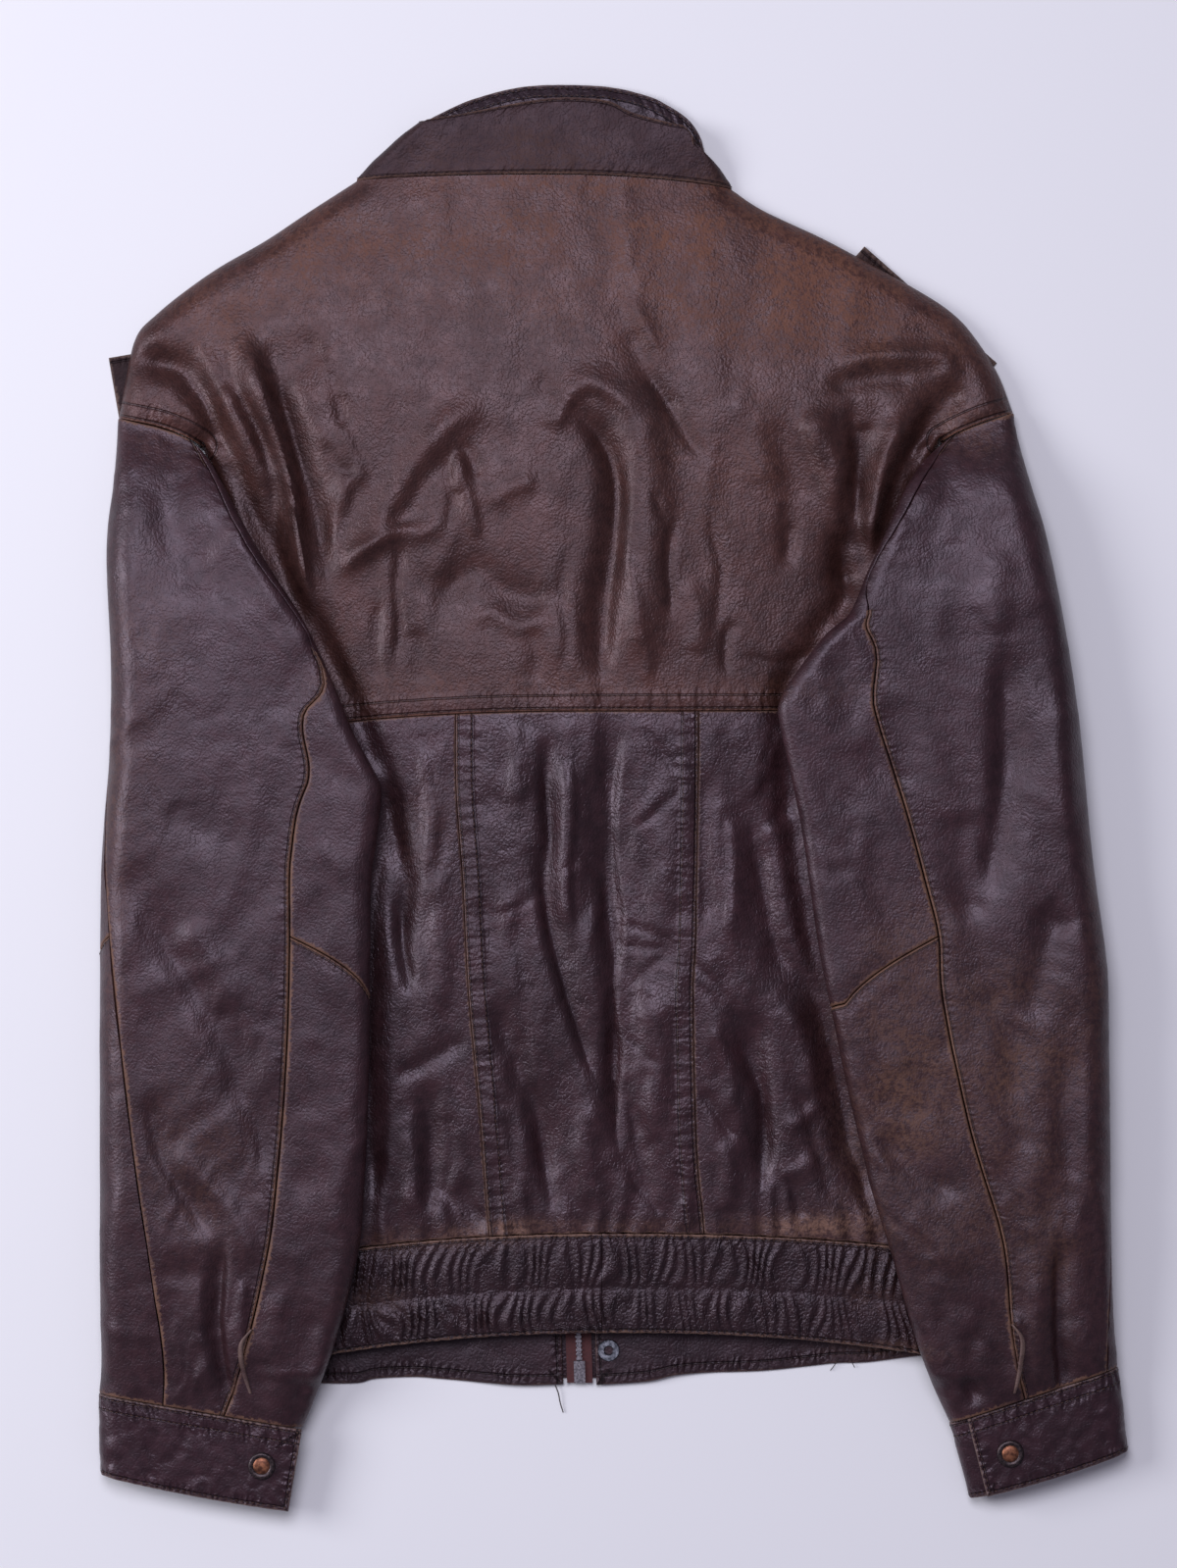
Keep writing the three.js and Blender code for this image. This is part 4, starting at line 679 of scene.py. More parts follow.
def groupOf(tree, group, values):
    made = nodeOf(tree, "ShaderNodeGroup", node_tree=group)
    for key, value in values.items():
        made.inputs[key].default_value = value
    return made


def leather(name, base, deep, worn, rough, wornRough, pebble=1.0, creases=1.0, swell=1.0, coat=0.0,
            edgeWear=0.5, edgeWidth=1.4, bump=0.1, rows=(-9.0, -9.0, -9.0), pucker=0.3,
            tint=(1.0, 0.86, 0.97)):
    material = bpy.data.materials.new(name)
    material.use_nodes = True
    tree = material.node_tree
    shader = tree.nodes["Principled BSDF"]
    where = whereOf(tree)
    grains = groupOf(tree, grain, {"Pebble": pebble, "Creases": creases, "Swell": swell})
    worns = groupOf(tree, wear, {"Edge width mm": edgeWidth, "Edge wear": edgeWear})
    mottle = rangeOf(tree, noiseOf(tree, where, lookForm["mottle"], 5.0, 0.6, 0.5), 0.3, 0.72)
    fine = rangeOf(tree, noiseOf(tree, where, lookForm["fine"], 4.0, 0.65), 0.3, 0.7, 0.72, 1.28)
    colour = newMix(tree, mottle, (*deep, 1), (*base, 1))
    shade = nodeOf(tree, "ShaderNodeCombineColor", {0: fine, 1: fine, 2: fine}).outputs[0]
    colour = newMix(tree, 1.0, colour, shade, "MULTIPLY")
    colour = newMix(tree, worns.outputs["Patch"], colour, (*worn, 1))
    colour = newMix(tree, mathOf(tree, "MULTIPLY", worns.outputs["Speckle"], lookForm["speckle"]), colour,
                    (*deep, 1))
    paleEdge = [min(1, k * v) for v, k in zip(worn, lookForm["paleEdge"])]
    colour = newMix(tree, worns.outputs["Edge"], colour, (*paleEdge, 1))
    stitches = groupOf(tree, sewn, {"First mm": rows[0], "Second mm": rows[1], "Other mm": rows[2],
                                    "Pucker": pucker})
    # Painted shade: the colour is darkened along the stitch grooves.
    grooveShade = mathOf(tree, "MULTIPLY", stitches.outputs["Line"], lookForm["grooveShadeMix"])
    colour = newMix(tree, grooveShade, colour, (*(lookForm["grooveShade"] * v for v in deep), 1))
    tree.links.new(colour, shader.inputs["Base Color"])
    anyWear = mathOf(tree, "MAXIMUM", worns.outputs["Patch"], worns.outputs["Edge"])
    uneven = rangeOf(tree, noiseOf(tree, where, lookForm["sheen"], 4.0), 0.3, 0.7, -0.05, 0.06)
    roughness = mathOf(tree, "ADD", rangeOf(tree, anyWear, 0.0, 1.0, rough, wornRough), uneven, clamp=True)
    tree.links.new(roughness, shader.inputs["Roughness"])
    height = mathOf(tree, "MULTIPLY_ADD", grains.outputs["Height"], bump, stitches.outputs["Height"])
    bumped = nodeOf(tree, "ShaderNodeBump", {"Height": height, "Strength": 1.0, "Distance": 0.001})
    tree.links.new(bumped.outputs["Normal"], shader.inputs["Normal"])
    shader.inputs["Specular Tint"].default_value = (*tint, 1.0)
    shader.inputs["Coat Weight"].default_value = coat
    shader.inputs["Coat Roughness"].default_value = lookForm["coatRough"]
    return material


# Each leather: its raised and its deep colour, its worn colour, how rough it is whole and worn
yokeLeather = leather("yokeLeather", (0.054, 0.0215, 0.0175), (0.031, 0.0125, 0.0105),
                      (0.135, 0.055, 0.029), 0.41, 0.64, creases=0.4, swell=0.9, bump=0.14, coat=0.02,
                      rows=(1.6, 9.0, -9), pucker=0.16, tint=(0.96, 0.76, 0.8))
bodyLeather = leather("bodyLeather", (0.036, 0.0142, 0.0165), (0.021, 0.0085, 0.0095),
                      (0.16, 0.085, 0.055), 0.39, 0.6, pebble=0.8, creases=0.7, swell=0.8, bump=0.15,
                      coat=0.05, rows=(1.4, 9.2, -9), pucker=0.13)
bandLeather = leather("bandLeather", (0.022, 0.0085, 0.0095), (0.012, 0.005, 0.0055),
                      (0.12, 0.062, 0.038), 0.4, 0.64, swell=0.8, bump=0.2, edgeWear=0.9, edgeWidth=2.2,
                      rows=(2.2, -9, -9), pucker=0.2)
frontLeather = leather("frontLeather", (0.022, 0.0085, 0.01), (0.013, 0.005, 0.006),
                       (0.08, 0.042, 0.03), 0.45, 0.6, rows=(5.6, -9, 3.0))
sleeveLeather = leather("sleeveLeather", (0.034, 0.0133, 0.0155), (0.023, 0.009, 0.0105),
                        (0.1, 0.046, 0.024), 0.42, 0.6, pebble=0.8, creases=0.45, swell=0.7, bump=0.13,
                        edgeWear=1.0, edgeWidth=2.5, coat=0.05, rows=(1.8, -9, -9), pucker=0.12)
cuffLeather = leather("cuffLeather", (0.032, 0.0125, 0.016), (0.02, 0.0075, 0.0095),
                      (0.11, 0.065, 0.048), 0.38, 0.6, pebble=0.8, creases=0.3, swell=0.8, bump=0.12,
                      coat=0.06, edgeWear=0.9, rows=(2.2, 8.6, 2.4), pucker=0.25)
collarLeather = leather("collarLeather", (0.026, 0.0125, 0.012), (0.015, 0.007, 0.0075),
                        (0.075, 0.038, 0.025), 0.5, 0.7, pebble=0.8, creases=0.4, swell=0.8, bump=0.14,
                        rows=(1.8, -9, -9), pucker=0.1, edgeWear=1.0, edgeWidth=2.2,
                        tint=(0.74, 0.58, 0.66))
edgeLeather = leather("edgeLeather", (0.02, 0.009, 0.012), (0.013, 0.006, 0.008),
                      (0.09, 0.055, 0.042), 0.4, 0.6, rows=(2.2, 7.3, -9), edgeWear=0.8, pucker=0.08,
                      bump=0.12, creases=0.2)
# Painted shade: the straps' darker colour stands in for the shade on the real curved loops, which are flat
# plates here.
strapPaintedShadeLeather = leather("strapPaintedShadeLeather", (0.018, 0.008, 0.008), (0.011, 0.005, 0.005),
                       (0.09, 0.055, 0.04), 0.55, 0.65, rows=(3.0, -9, -9), edgeWear=1.0, edgeWidth=2.0,
                       tint=(0.5, 0.4, 0.42))


def plainMaterial(name, colour, rough, metal=0.0, dark=None, scale=600.0, bump=0.2):
    material = bpy.data.materials.new(name)
    material.use_nodes = True
    tree = material.node_tree
    shader = tree.nodes["Principled BSDF"]
    n = noiseOf(tree, whereOf(tree), scale, 4.0, 0.6)
    dark = dark or [0.6 * v for v in colour]
    mixed = newMix(tree, rangeOf(tree, n, 0.35, 0.65), (*dark, 1), (*colour, 1))
    tree.links.new(mixed, shader.inputs["Base Color"])
    tree.links.new(rangeOf(tree, n, 0.2, 0.8, rough - 0.08, rough + 0.1), shader.inputs["Roughness"])
    shader.inputs["Metallic"].default_value = metal
    bumped = nodeOf(tree, "ShaderNodeBump", {"Height": n, "Strength": bump, "Distance": 0.0002})
    tree.links.new(bumped.outputs["Normal"], shader.inputs["Normal"])
    return material


thread = plainMaterial("thread", (0.1, 0.05, 0.035), 0.75, scale=2500.0)
darkThread = plainMaterial("darkThread", (0.035, 0.018, 0.015), 0.7, scale=2500.0)
tapeCloth = plainMaterial("tapeCloth", (0.085, 0.024, 0.024), 0.85, scale=1800.0, bump=0.5)
zipMetal = plainMaterial("zipMetal", (0.34, 0.32, 0.34), 0.34, 1.0, scale=900.0)
steel = plainMaterial("steel", (0.34, 0.36, 0.4), 0.38, 1.0, (0.12, 0.13, 0.15), 500.0)
copper = plainMaterial("copper", (0.33, 0.14, 0.075), 0.42, 0.9, (0.13, 0.055, 0.035), 420.0)
darkMetal = plainMaterial("darkMetal", (0.075, 0.055, 0.055), 0.36, 0.8, (0.03, 0.024, 0.026), 700.0)
print("materials ready")

# Stitching: each path gets short threads of a given pitch, lying along it.
stitching = {"Pitch": 0.0031, "Length": 0.0024, "Thick": 0.00045}


# A geometry group that repeats one shape along the paths of a mesh, turned along them
def repeatTree(name, sockets, shapeOf, outName):
    tree, given, out = newGroup(name, sockets, [outName], "GeometryNodeTree")
    paths, material = [key for key, kind in sockets.items()
                       if kind in ("NodeSocketGeometry", "NodeSocketMaterial")]
    shape, scale = shapeOf(tree, given.outputs)
    curve = nodeOf(tree, "GeometryNodeMeshToCurve", {"Mesh": given.outputs[paths]})
    spaced = nodeOf(tree, "GeometryNodeResampleCurve", {
        "Curve": curve.outputs[0], "Length": given.outputs["Pitch"]}, mode="LENGTH")
    tangent = nodeOf(tree, "GeometryNodeInputTangent")
    turn = nodeOf(tree, "FunctionNodeAlignEulerToVector", {"Vector": tangent.outputs[0]}, axis="X")
    placed = nodeOf(tree, "GeometryNodeInstanceOnPoints", {
        "Points": spaced.outputs[0], "Instance": shape.outputs[0], "Rotation": turn.outputs[0],
        "Scale": scale.outputs[0]})
    real = nodeOf(tree, "GeometryNodeRealizeInstances", {"Geometry": placed.outputs[0]})
    coloured = nodeOf(tree, "GeometryNodeSetMaterial", {"Geometry": real.outputs[0],
                                                        "Material": given.outputs[material]})
    tree.links.new(coloured.outputs[0], out.inputs[0])
    return tree


def stitchShape(tree, given):
    bead = nodeOf(tree, "GeometryNodeMeshUVSphere", {"Segments": 6, "Rings": 4, "Radius": 0.5})
    size = nodeOf(tree, "ShaderNodeCombineXYZ", {0: given["Length"], 1: given["Thick"], 2: given["Thick"]})
    jitter = nodeOf(tree, "FunctionNodeRandomValue", {2: 0.82, 3: 1.12, "Seed": given["Seed"]},
                    data_type="FLOAT")
    return bead, nodeOf(tree, "ShaderNodeVectorMath", {0: size.outputs[0], "Scale": jitter.outputs[1]},
                        operation="SCALE")


def toothShape(tree, given):
    block = nodeOf(tree, "GeometryNodeMeshCube", {"Size": (1.0, 1.0, 1.0)})
    return block, nodeOf(tree, "ShaderNodeCombineXYZ", {
        0: mathOf(tree, "MULTIPLY", given["Pitch"], 0.55), 1: given["Width"], 2: given["Thick"]})


stitchRows = repeatTree("stitchRows", {
    "Paths": "NodeSocketGeometry", "Pitch": 0.003, "Length": 0.002, "Thick": 0.0004,
    "Thread": "NodeSocketMaterial", "Seed": "NodeSocketInt"}, stitchShape, "Stitches")
toothRows = repeatTree("zipTeeth", {
    "Path": "NodeSocketGeometry", "Pitch": 0.002, "Width": 0.003, "Thick": 0.001,
    "Metal": "NodeSocketMaterial"}, toothShape, "Teeth")


def runTree(name, tree, points, edges, material, settings):
    path = bpy.data.meshes.new(name + "_path")
    path.from_pydata(points, edges, [])
    carrier = bpy.data.objects.new(name + "_path", path)
    scene.collection.objects.link(carrier)
    modifier = carrier.modifiers.new("made", "NODES")
    modifier.node_group = tree
    for item in tree.interface.items_tree:
        if item.item_type == "SOCKET" and item.in_out == "INPUT" and item.name in settings:
            modifier[item.identifier] = settings[item.name]
    bpy.context.view_layer.update()
    graph = bpy.context.evaluated_depsgraph_get()
    mesh = bpy.data.meshes.new_from_object(carrier.evaluated_get(graph))
    bpy.data.objects.remove(carrier)
    mesh.name = name
    mesh.polygons.foreach_set("use_smooth", np.ones(len(mesh.polygons), bool))
    mesh.materials.clear()
    mesh.materials.append(material)
    thing = bpy.data.objects.new(name, mesh)
    scene.collection.objects.link(thing)
    return thing


def sewRows(name, lines, material, node, seed):
    points, edges = [], []
    for line in lines:
        start = len(points)
        points += [tuple(v * 0.001 for v in p) for p in line]
        edges += [(start + i, start + i + 1) for i in range(len(line) - 1)]
    made = runTree(name, stitchRows, points, edges, material,
                   {**stitching, "Thread": material, "Seed": seed})
    rowsOn.setdefault(node, []).append(made)
    return finishPiece(made)


# Back: the yoke and the three lower panels
sewnSteps = [0.0, 0.3, 0.75, 1.3, 2.1]
lappedSteps = sewnSteps + [4.2, 6.3, 8.0, 9.2, 10.0, 10.8, 11.8]
roundSteps = [body["sideRound"] * (1 - math.cos(i * math.pi / 18)) for i in range(10)]


def acrossGrid(left, right, leftSewn, rightSewn, step):
    sewn = lappedSteps if leftSewn and rightSewn else sewnSteps
    a, b = (sewn if leftSewn else roundSteps), (sewn if rightSewn else roundSteps)
    count = int(round((np.mean(right - left) - a[-1] - b[-1]) / step))
    columns = [left + d for d in a[:-1]]
    columns += [lerp(left + a[-1], right - b[-1], s) for s in np.linspace(0, 1, count + 1)]
    columns += [right - d for d in reversed(b[:-1])]
    return np.stack(columns, 1)


def rowSteps(start, end, step, topGap, bottomGap):
    keys, middles = smoothRows["middle"]
    high, low = np.interp([start, end], keys, middles)
    high, low = high - topGap, low + bottomGap
    count = int(round((high - low - 2 * sewnSteps[-1]) / step))
    y = [high - d for d in sewnSteps[:-1]]
    y += list(np.linspace(high - sewnSteps[-1], low + sewnSteps[-1], count + 1))
    y += [low + d for d in reversed(sewnSteps[:-1])]
    return np.interp(-np.array(y), -np.array(middles), keys)


def backCloth(x, y, strength):
    upright = crumples(x, y, [(1.3, 21, 38, 2.4, 86), (0.4, 22, 17, 2.0, 80)])
    crossed = crumples(x, y, [(0.16, 23, 9, 1.4, 30)])
    lower = smooth((70 - y) / 60)
    return strength * (upright * lerp(0.45, 1.0, lower) + crossed * lerp(0.5, 1.1, lower))


# Worn patches in the photograph's pixels: centre, half sizes, strength
wornPlaces = [
    (580, 225, 70, 30, 0.5), (810, 295, 110, 65, 1.0), (720, 230, 90, 40, 0.7), (450, 240, 110, 50, 0.6),
    (330, 270, 70, 45, 0.55), (230, 320, 60, 40, 0.4), (930, 350, 60, 45, 0.5), (640, 290, 160, 60, 0.4),
    (740, 480, 80, 90, 0.22), (500, 700, 120, 16, 0.3), (760, 705, 110, 14, 0.35), (430, 860, 40, 70, 0.12),
    (640, 185, 190, 12, 0.75), (990, 440, 40, 30, 0.35), (180, 440, 50, 30, 0.3),
    (835, 1252, 62, 12, 1.0), (525, 1252, 26, 9, 0.9), (470, 1262, 60, 10, 0.5), (640, 1250, 120, 7, 0.35),
    (890, 1378, 48, 9, 1.0), (400, 1268, 30, 10, 0.6), (890, 1325, 30, 14, 0.35), (380, 1325, 30, 14, 0.3),
    (905, 1100, 50, 120, 0.6), (930, 960, 40, 40, 0.4), (1010, 1040, 70, 60, 0.5),
    (1060, 1090, 60, 60, 0.5),
    (980, 1180, 80, 120, 0.45), (150, 640, 40, 90, 0.2), (200, 1180, 60, 90, 0.3),
    (1070, 1280, 40, 90, 0.35),
    (120, 900, 14, 220, 0.35), (1115, 900, 12, 220, 0.3), (330, 700, 14, 30, 0.2),
    (150, 780, 30, 100, 0.12),
    (545, 150, 90, 30, 0.45), (430, 160, 30, 25, 0.3), (700, 165, 25, 25, 0.35),
]


def wornField(x, y):
    total = np.zeros(x.shape)
    for px, py, halfX, halfY, strength in wornPlaces:
        (cx, cy), = onPlan([(px, py)])
        offX, offY = (x - cx) / (halfX * view["pixel"]), (y - cy) / (halfY * view["pixel"])
        total += strength * np.exp(-offX ** 2 - offY ** 2)
    return clamp01(total)


def backPiece(name, rows, sides, sewnBorders, stitchRowsOf, material, raisedBy=None, extra=None,
              step=body["gridStep"], rowStep=body["gridStep"], folds=tuple(mainFolds + smallFolds),
              cloth=1.0):
    topGap, bottomGap = (0.0 if row in (0, 34) else body["seamGap"] / 2 for row in rows)
    r = rowSteps(rows[0], rows[1], rowStep, topGap, bottomGap)
    leftX, _, rightX, _, middle = bodyEnds(r)
    left = leftX if sides[0] is None else sides[0](middle) + body["seamGap"] / 2
    right = rightX if sides[1] is None else sides[1](middle) - body["seamGap"] / 2
    x = acrossGrid(left, right, sides[0] is not None, sides[1] is not None, step)
    rr = np.repeat(r[:, None], x.shape[1], 1)
    raised = raisedBy(rr, x, left[:, None], right[:, None]) if raisedBy else 0.0
    p = backSurface(rr, x, folds, raised)
    normal = gridNormals(p)
    height, values = sewnRelief(p, sewnBorders, stitchRowsOf)
    distance = values["seam"]
    leftEnd, rightEnd = leftX[:, None], rightX[:, None]
    inside = smooth(np.minimum(x - leftEnd, rightEnd - x) / 20)
    height = height + backCloth(p[..., 0], p[..., 1], cloth) * inside * smooth((distance + 2) / 12)
    if extra is not None:
        height = height + extra(p, rr)
    outer = p + normal * height[..., None]
    inner = p - normal * body["wall"]
    inner[..., 2] = np.maximum(inner[..., 2], floorLift(inner[..., 0], inner[..., 1]))
    outer[..., 2] = np.maximum(outer[..., 2], inner[..., 2])
    if name == "back_yoke":
        for path in armholes:
            off, run, _, _ = nearest(path, p[..., 0], p[..., 1])
            values["seam"] = np.minimum(values["seam"], off)
            values["along"] = np.where(off < values["rows"], run, values["along"])
            values["rows"] = np.minimum(values["rows"], off)
    values["worn"] = wornField(p[..., 0], p[..., 1])
    finishCloth(name, outer, inner, values, material, normal * 0.12)


def xOf(path):
    smoothed = spline(path, 4)
    return lambda y: np.interp(-y, -smoothed[:, 1], smoothed[:, 0])


hems = {"yokeRaise": 1.0, "rampRows": 0.12, "lapRaise": 0.9, "lapWidth": 10.5, "lapRamp": 1.5}


def yokeHem(r, x, left, right):
    last = body["yoke"][1] - 1
    return hems["yokeRaise"] * smooth((r - last + hems["rampRows"]) / hems["rampRows"])


def lapped(r, x, left, right):
    inward = np.minimum(x - left, right - x)
    return hems["lapRaise"] * smooth((hems["lapWidth"] - inward) / hems["lapRamp"])


# Above the elastic the panels draw into upright folds.
drawn = {"depth": 1.3, "foot": -250, "fade": 26, "every": 17, "wander": 0.8}


def drawnIn(p, r):
    x, y = p[..., 0], p[..., 1]
    near = np.exp(-np.maximum(0, y - drawn["foot"]) / drawn["fade"])
    phase = x / drawn["every"] + drawn["wander"] * noise(x / 30, y / 60, 31)
    return drawn["depth"] * near * np.sin(2 * np.pi * phase)


backPiece("back_yoke", body["yoke"], (None, None), ["bottom"], [("bottom", 1.6), ("bottom", 9.0)],
          yokeLeather, raisedBy=yokeHem)
leftSeamX, rightSeamX = xOf(body["leftSeam"]), xOf(body["rightSeam"])
backPiece("back_left_panel", body["panels"], (None, leftSeamX), ["top", "right", "bottom"], [],
          bodyLeather, extra=drawnIn)
backPiece("back_centre_panel", body["panels"], (leftSeamX, rightSeamX), ["top", "left", "right", "bottom"],
          [("left", 1.4), ("left", 9.2), ("right", 1.4), ("right", 9.2)],
          bodyLeather, raisedBy=lapped, extra=drawnIn)
backPiece("back_right_panel", body["panels"], (rightSeamX, None), ["top", "left", "bottom"], [],
          bodyLeather, extra=drawnIn)

# Waistband: two channels of gathers with flat seams between them
band = {"depth": 2.4, "gathers": 60, "step": 0.9, "rowStep": 1.4, "left": -195, "width": 396,
        "upperSlant": 0.5, "lowerSlant": -0.35, "wander": 1.5, "crest": 1.6, "least": 0.25,
        "rounding": 0.62}


def gathered(r, x, left, right):
    middle = (body["band"][0] + body["band"][1]) / 2
    across = (x - band["left"]) / band["width"] * band["gathers"]
    upper = r < middle
    channel = clamp01(np.where(upper, r - body["band"][0], r - middle) / 3)
    slant = np.where(upper, band["upperSlant"], band["lowerSlant"]) * (channel - 0.5)
    drift = [noise(across * 0.37 + shift, channel * 0.8, seed) for shift, seed in ((0, 41), (30, 42))]
    seeds = np.where(upper, *drift)
    phase = across + slant + band["wander"] * seeds
    wave = lerp(band["least"], 1, 1 - np.abs(np.sin(np.pi * phase)) ** band["crest"])
    uneven = noise(across * 0.21, channel * 0.5 + np.where(upper, 0, 9), 43)
    strength = lerp(0.55, 1.15, clamp01(0.5 + 0.9 * uneven))
    return band["depth"] * strength * wave * np.sin(np.pi * channel) ** band["rounding"]


bandNames = ["waistband_left", "waistband_right"]
for name, sides in zip(bandNames, [(None, lambda y: 0 * y + body["centreBack"]),
                                   (lambda y: 0 * y + body["centreBack"], None)]):
    backPiece(name, body["band"], sides, ["top", "bottom"],
              [("top", 2.2), ("bottom", 2.2)], bandLeather, raisedBy=gathered,
              step=band["step"], rowStep=band["rowStep"], folds=mainFolds, cloth=0.25)
print("back ready")

# Sleeves
sleeves = {
    "left": {
        "side": -1, "seamFrom": 84,
        "outer": [(-284, 217), (-284.5, 200), (-286, 177), (-289, 155), (-289.5, 129), (-287, 74),
                  (-288, 23),
                  (-291, -15), (-293, -59), (-293.5, -170), (-293.5, -280), (-293, -322), (-294.5, -341)],
        "inner": [(-236, 200.5), (-229, 188), (-222, 176), (-208, 150), (-192, 124), (-176, 99), (-160, 65),
                  (-148, 36), (-135, 12), (-132, 2), (-135, -27), (-138, -55), (-139, -150), (-143, -240),
                  (-149, -275), (-160, -315), (-173, -349), (-178, -361)],
        "head": [(-284, 217), (-276, 215), (-262, 212), (-252, 208.8), (-244, 205.3), (-236, 200.5)],
        "rows": [(217, 200.5), (206, 184), (187, 165), (163, 145), (137, 124), (110, 100), (80, 73),
                 (50, 45),
                 (20, 17), (-10, -12), (-44, -47), (-79.5, -80), (-115, -116), (-150, -152), (-185, -188),
                 (-220, -224), (-252, -258), (-282, -290), (-305, -316), (-324, -339), (-341, -361)],
        "backSeam": [(0, 0.9), (3, 0.93), (6, 0.985), (7, 0.82), (8, 0.765), (9, 0.7), (11, 0.705),
                     (13, 0.695),
                     (15, 0.67), (17, 0.645), (20, 0.62)],
        "frontSeam": [(0, -0.1), (5, -0.06), (8, -0.004), (10, 0.02), (12, 0.065), (15, 0.15), (18, 0.265),
                      (20, 0.32)],
        "folds": [
            (-3.4, 13, [126, 883, 174, 962, 208, 1014, 239, 1075, 260, 1130, 290, 1189, 331, 1201],
             {"lean": 0.3}),
            (3, 9, [187, 937, 221, 989, 242, 1033]),
            (-5, 5, [231, 1258, 224, 1335, 230, 1392, 238, 1439], {"lean": -0.4}),
            (-4, 5, [319, 1330, 312, 1387, 303, 1448]),
            (-3, 8, [153, 1107, 162, 1160, 197, 1226, 222, 1262], {"lean": 0.3}),
            (-3, 12, [158, 473, 180, 544, 219, 616]),
            (2.5, 8, [170, 1166, 208, 1201, 240, 1240, 269, 1291]),
            (2.5, 4, [250, 1300, 247, 1350, 250, 1400]), (2, 6, [205, 1290, 206, 1350, 214, 1420]),
            (2, 6, [283, 1310, 284, 1370, 280, 1436]), (-1.8, 6, [158, 1330, 160, 1380, 166, 1424]),
            (-1.5, 7, [124, 1240, 132, 1330, 140, 1410]), (2, 9, [235, 520, 262, 575, 300, 640]),
            (-1.8, 8, [330, 1010, 352, 1060, 362, 1130]), (-1.6, 7, [322, 760, 346, 790, 372, 800]),
            (1.4, 7, [320, 860, 345, 880, 372, 880]), (1.8, 7, [330, 1160, 345, 1210, 342, 1260]),
            (1.2, 12, [130, 620, 150, 690, 148, 760]), (-1.2, 12, [170, 820, 210, 850, 260, 850]),
            (1.2, 7, [262, 1040, 276, 1080, 286, 1110]),
        ],
        "cuff": {"top": [(-294.5, -341.4), (-178, -361.4)], "bottom": [(-294, -388), (-186, -408.5)],
                 "bow": -1.5,
                 "start": 0.62, "fold": 0.96, "end": 1.0, "heights": (22, 19)},
        "snap": (-201, -382), "slit": [(-206, -303), (-212, -312), (-211, -326), (-207, -340)],
    },
    "right": {
        "side": 1, "seamFrom": 107,
        "outer": [(229, 220), (230, 209), (237, 182), (247.5, 146), (258, 93), (266, 38), (273, -34),
                  (280, -85),
                  (282, -110), (283, -183), (284.5, -280), (288, -326)],
        "inner": [(188, 203.5), (180, 196), (167, 177), (156, 153), (145, 130), (134, 104), (121, 93),
                  (101, 67),
                  (94, 54), (93, 48), (95, 35), (101, 9.5), (108, -28), (116, -85), (126, -134),
                  (132, -163),
                  (146, -222), (157, -258), (171, -307), (181, -334), (192, -358)],
        "head": [(229, 220), (223, 218), (212, 214.5), (204, 211.4), (196, 208), (188, 203.5)],
        "rows": [(220, 203.5), (208, 190), (191, 174), (168, 152), (142, 128), (114, 102), (84, 74),
                 (53, 45),
                 (20, 14), (-12, -18), (-44, -50), (-75, -83), (-110, -120), (-145, -157), (-180, -194),
                 (-214, -230), (-246, -264), (-274, -295), (-296, -320), (-313, -340), (-326, -358)],
        "backSeam": [(0, 0.8), (2, 0.88), (4, 0.985), (5, 0.9), (6, 0.72), (8, 0.655), (10, 0.6),
                     (11, 0.58),
                     (12, 0.6), (14, 0.565), (16, 0.5), (18, 0.535), (20, 0.56)],
        "frontSeam": [(0, -0.1), (8, -0.08), (13, -0.03), (15, -0.003), (17, 0.01), (20, 0.07)],
        "folds": [
            (-5, 9, [1024, 651, 1021, 718, 1022, 780, 1012, 857, 1001, 919], {"lean": 0.3}),
            (-3, 12, [976, 821, 983, 884, 988, 946]), (-3, 10, [1072, 919, 1060, 982, 1040, 1044]),
            (-5, 5, [1078, 1258, 1076, 1330, 1080, 1392, 1081, 1430], {"lean": 0.3}),
            (-5, 5, [990, 1348, 987, 1392, 994, 1437]), (-3, 9, [894, 1151, 933, 1194, 976, 1214]),
            (2.5, 4, [1034, 1330, 1036, 1380, 1034, 1430]), (2, 6, [1056, 1290, 1054, 1350, 1058, 1420]),
            (-1.2, 3.5, [820, 887, 850, 889, 882, 883]), (-1.6, 7, [868, 760, 900, 790, 930, 800]),
            (1.6, 7, [900, 700, 880, 740, 876, 790]), (1.6, 10, [1090, 700, 1080, 780, 1086, 860]),
            (-2, 9, [1000, 1000, 1030, 1060, 1034, 1130]), (2, 9, [960, 1060, 1000, 1120, 1020, 1190]),
            (-1.8, 9, [1090, 1060, 1080, 1130, 1090, 1210]), (1.8, 8, [1060, 1150, 1050, 1210, 1058, 1270]),
            (1.6, 6, [870, 1050, 900, 1080, 930, 1080]), (-1.6, 6, [890, 1110, 920, 1130, 955, 1130]),
            (1.8, 7, [920, 1230, 950, 1260, 975, 1300]), (-1.6, 5, [950, 1320, 965, 1360, 975, 1410]),
            (-1.6, 6, [1110, 1200, 1112, 1290, 1120, 1370]), (1.6, 9, [1020, 560, 1010, 600, 1016, 650]),
            (-1.6, 9, [1060, 920, 1075, 935, 1088, 951]),
        ],
        "cuff": {"top": [(288.3, -326.3), (191.9, -358.4)], "bottom": [(294.5, -374.5), (204, -402)],
                 "bow": -2,
                 "start": 0.6, "fold": 1.0, "end": 0.9, "heights": (22, 19)},
        "snap": (226, -375), "slit": [(226, -300), (232, -309), (231, -325), (228, -340)],
    },
}
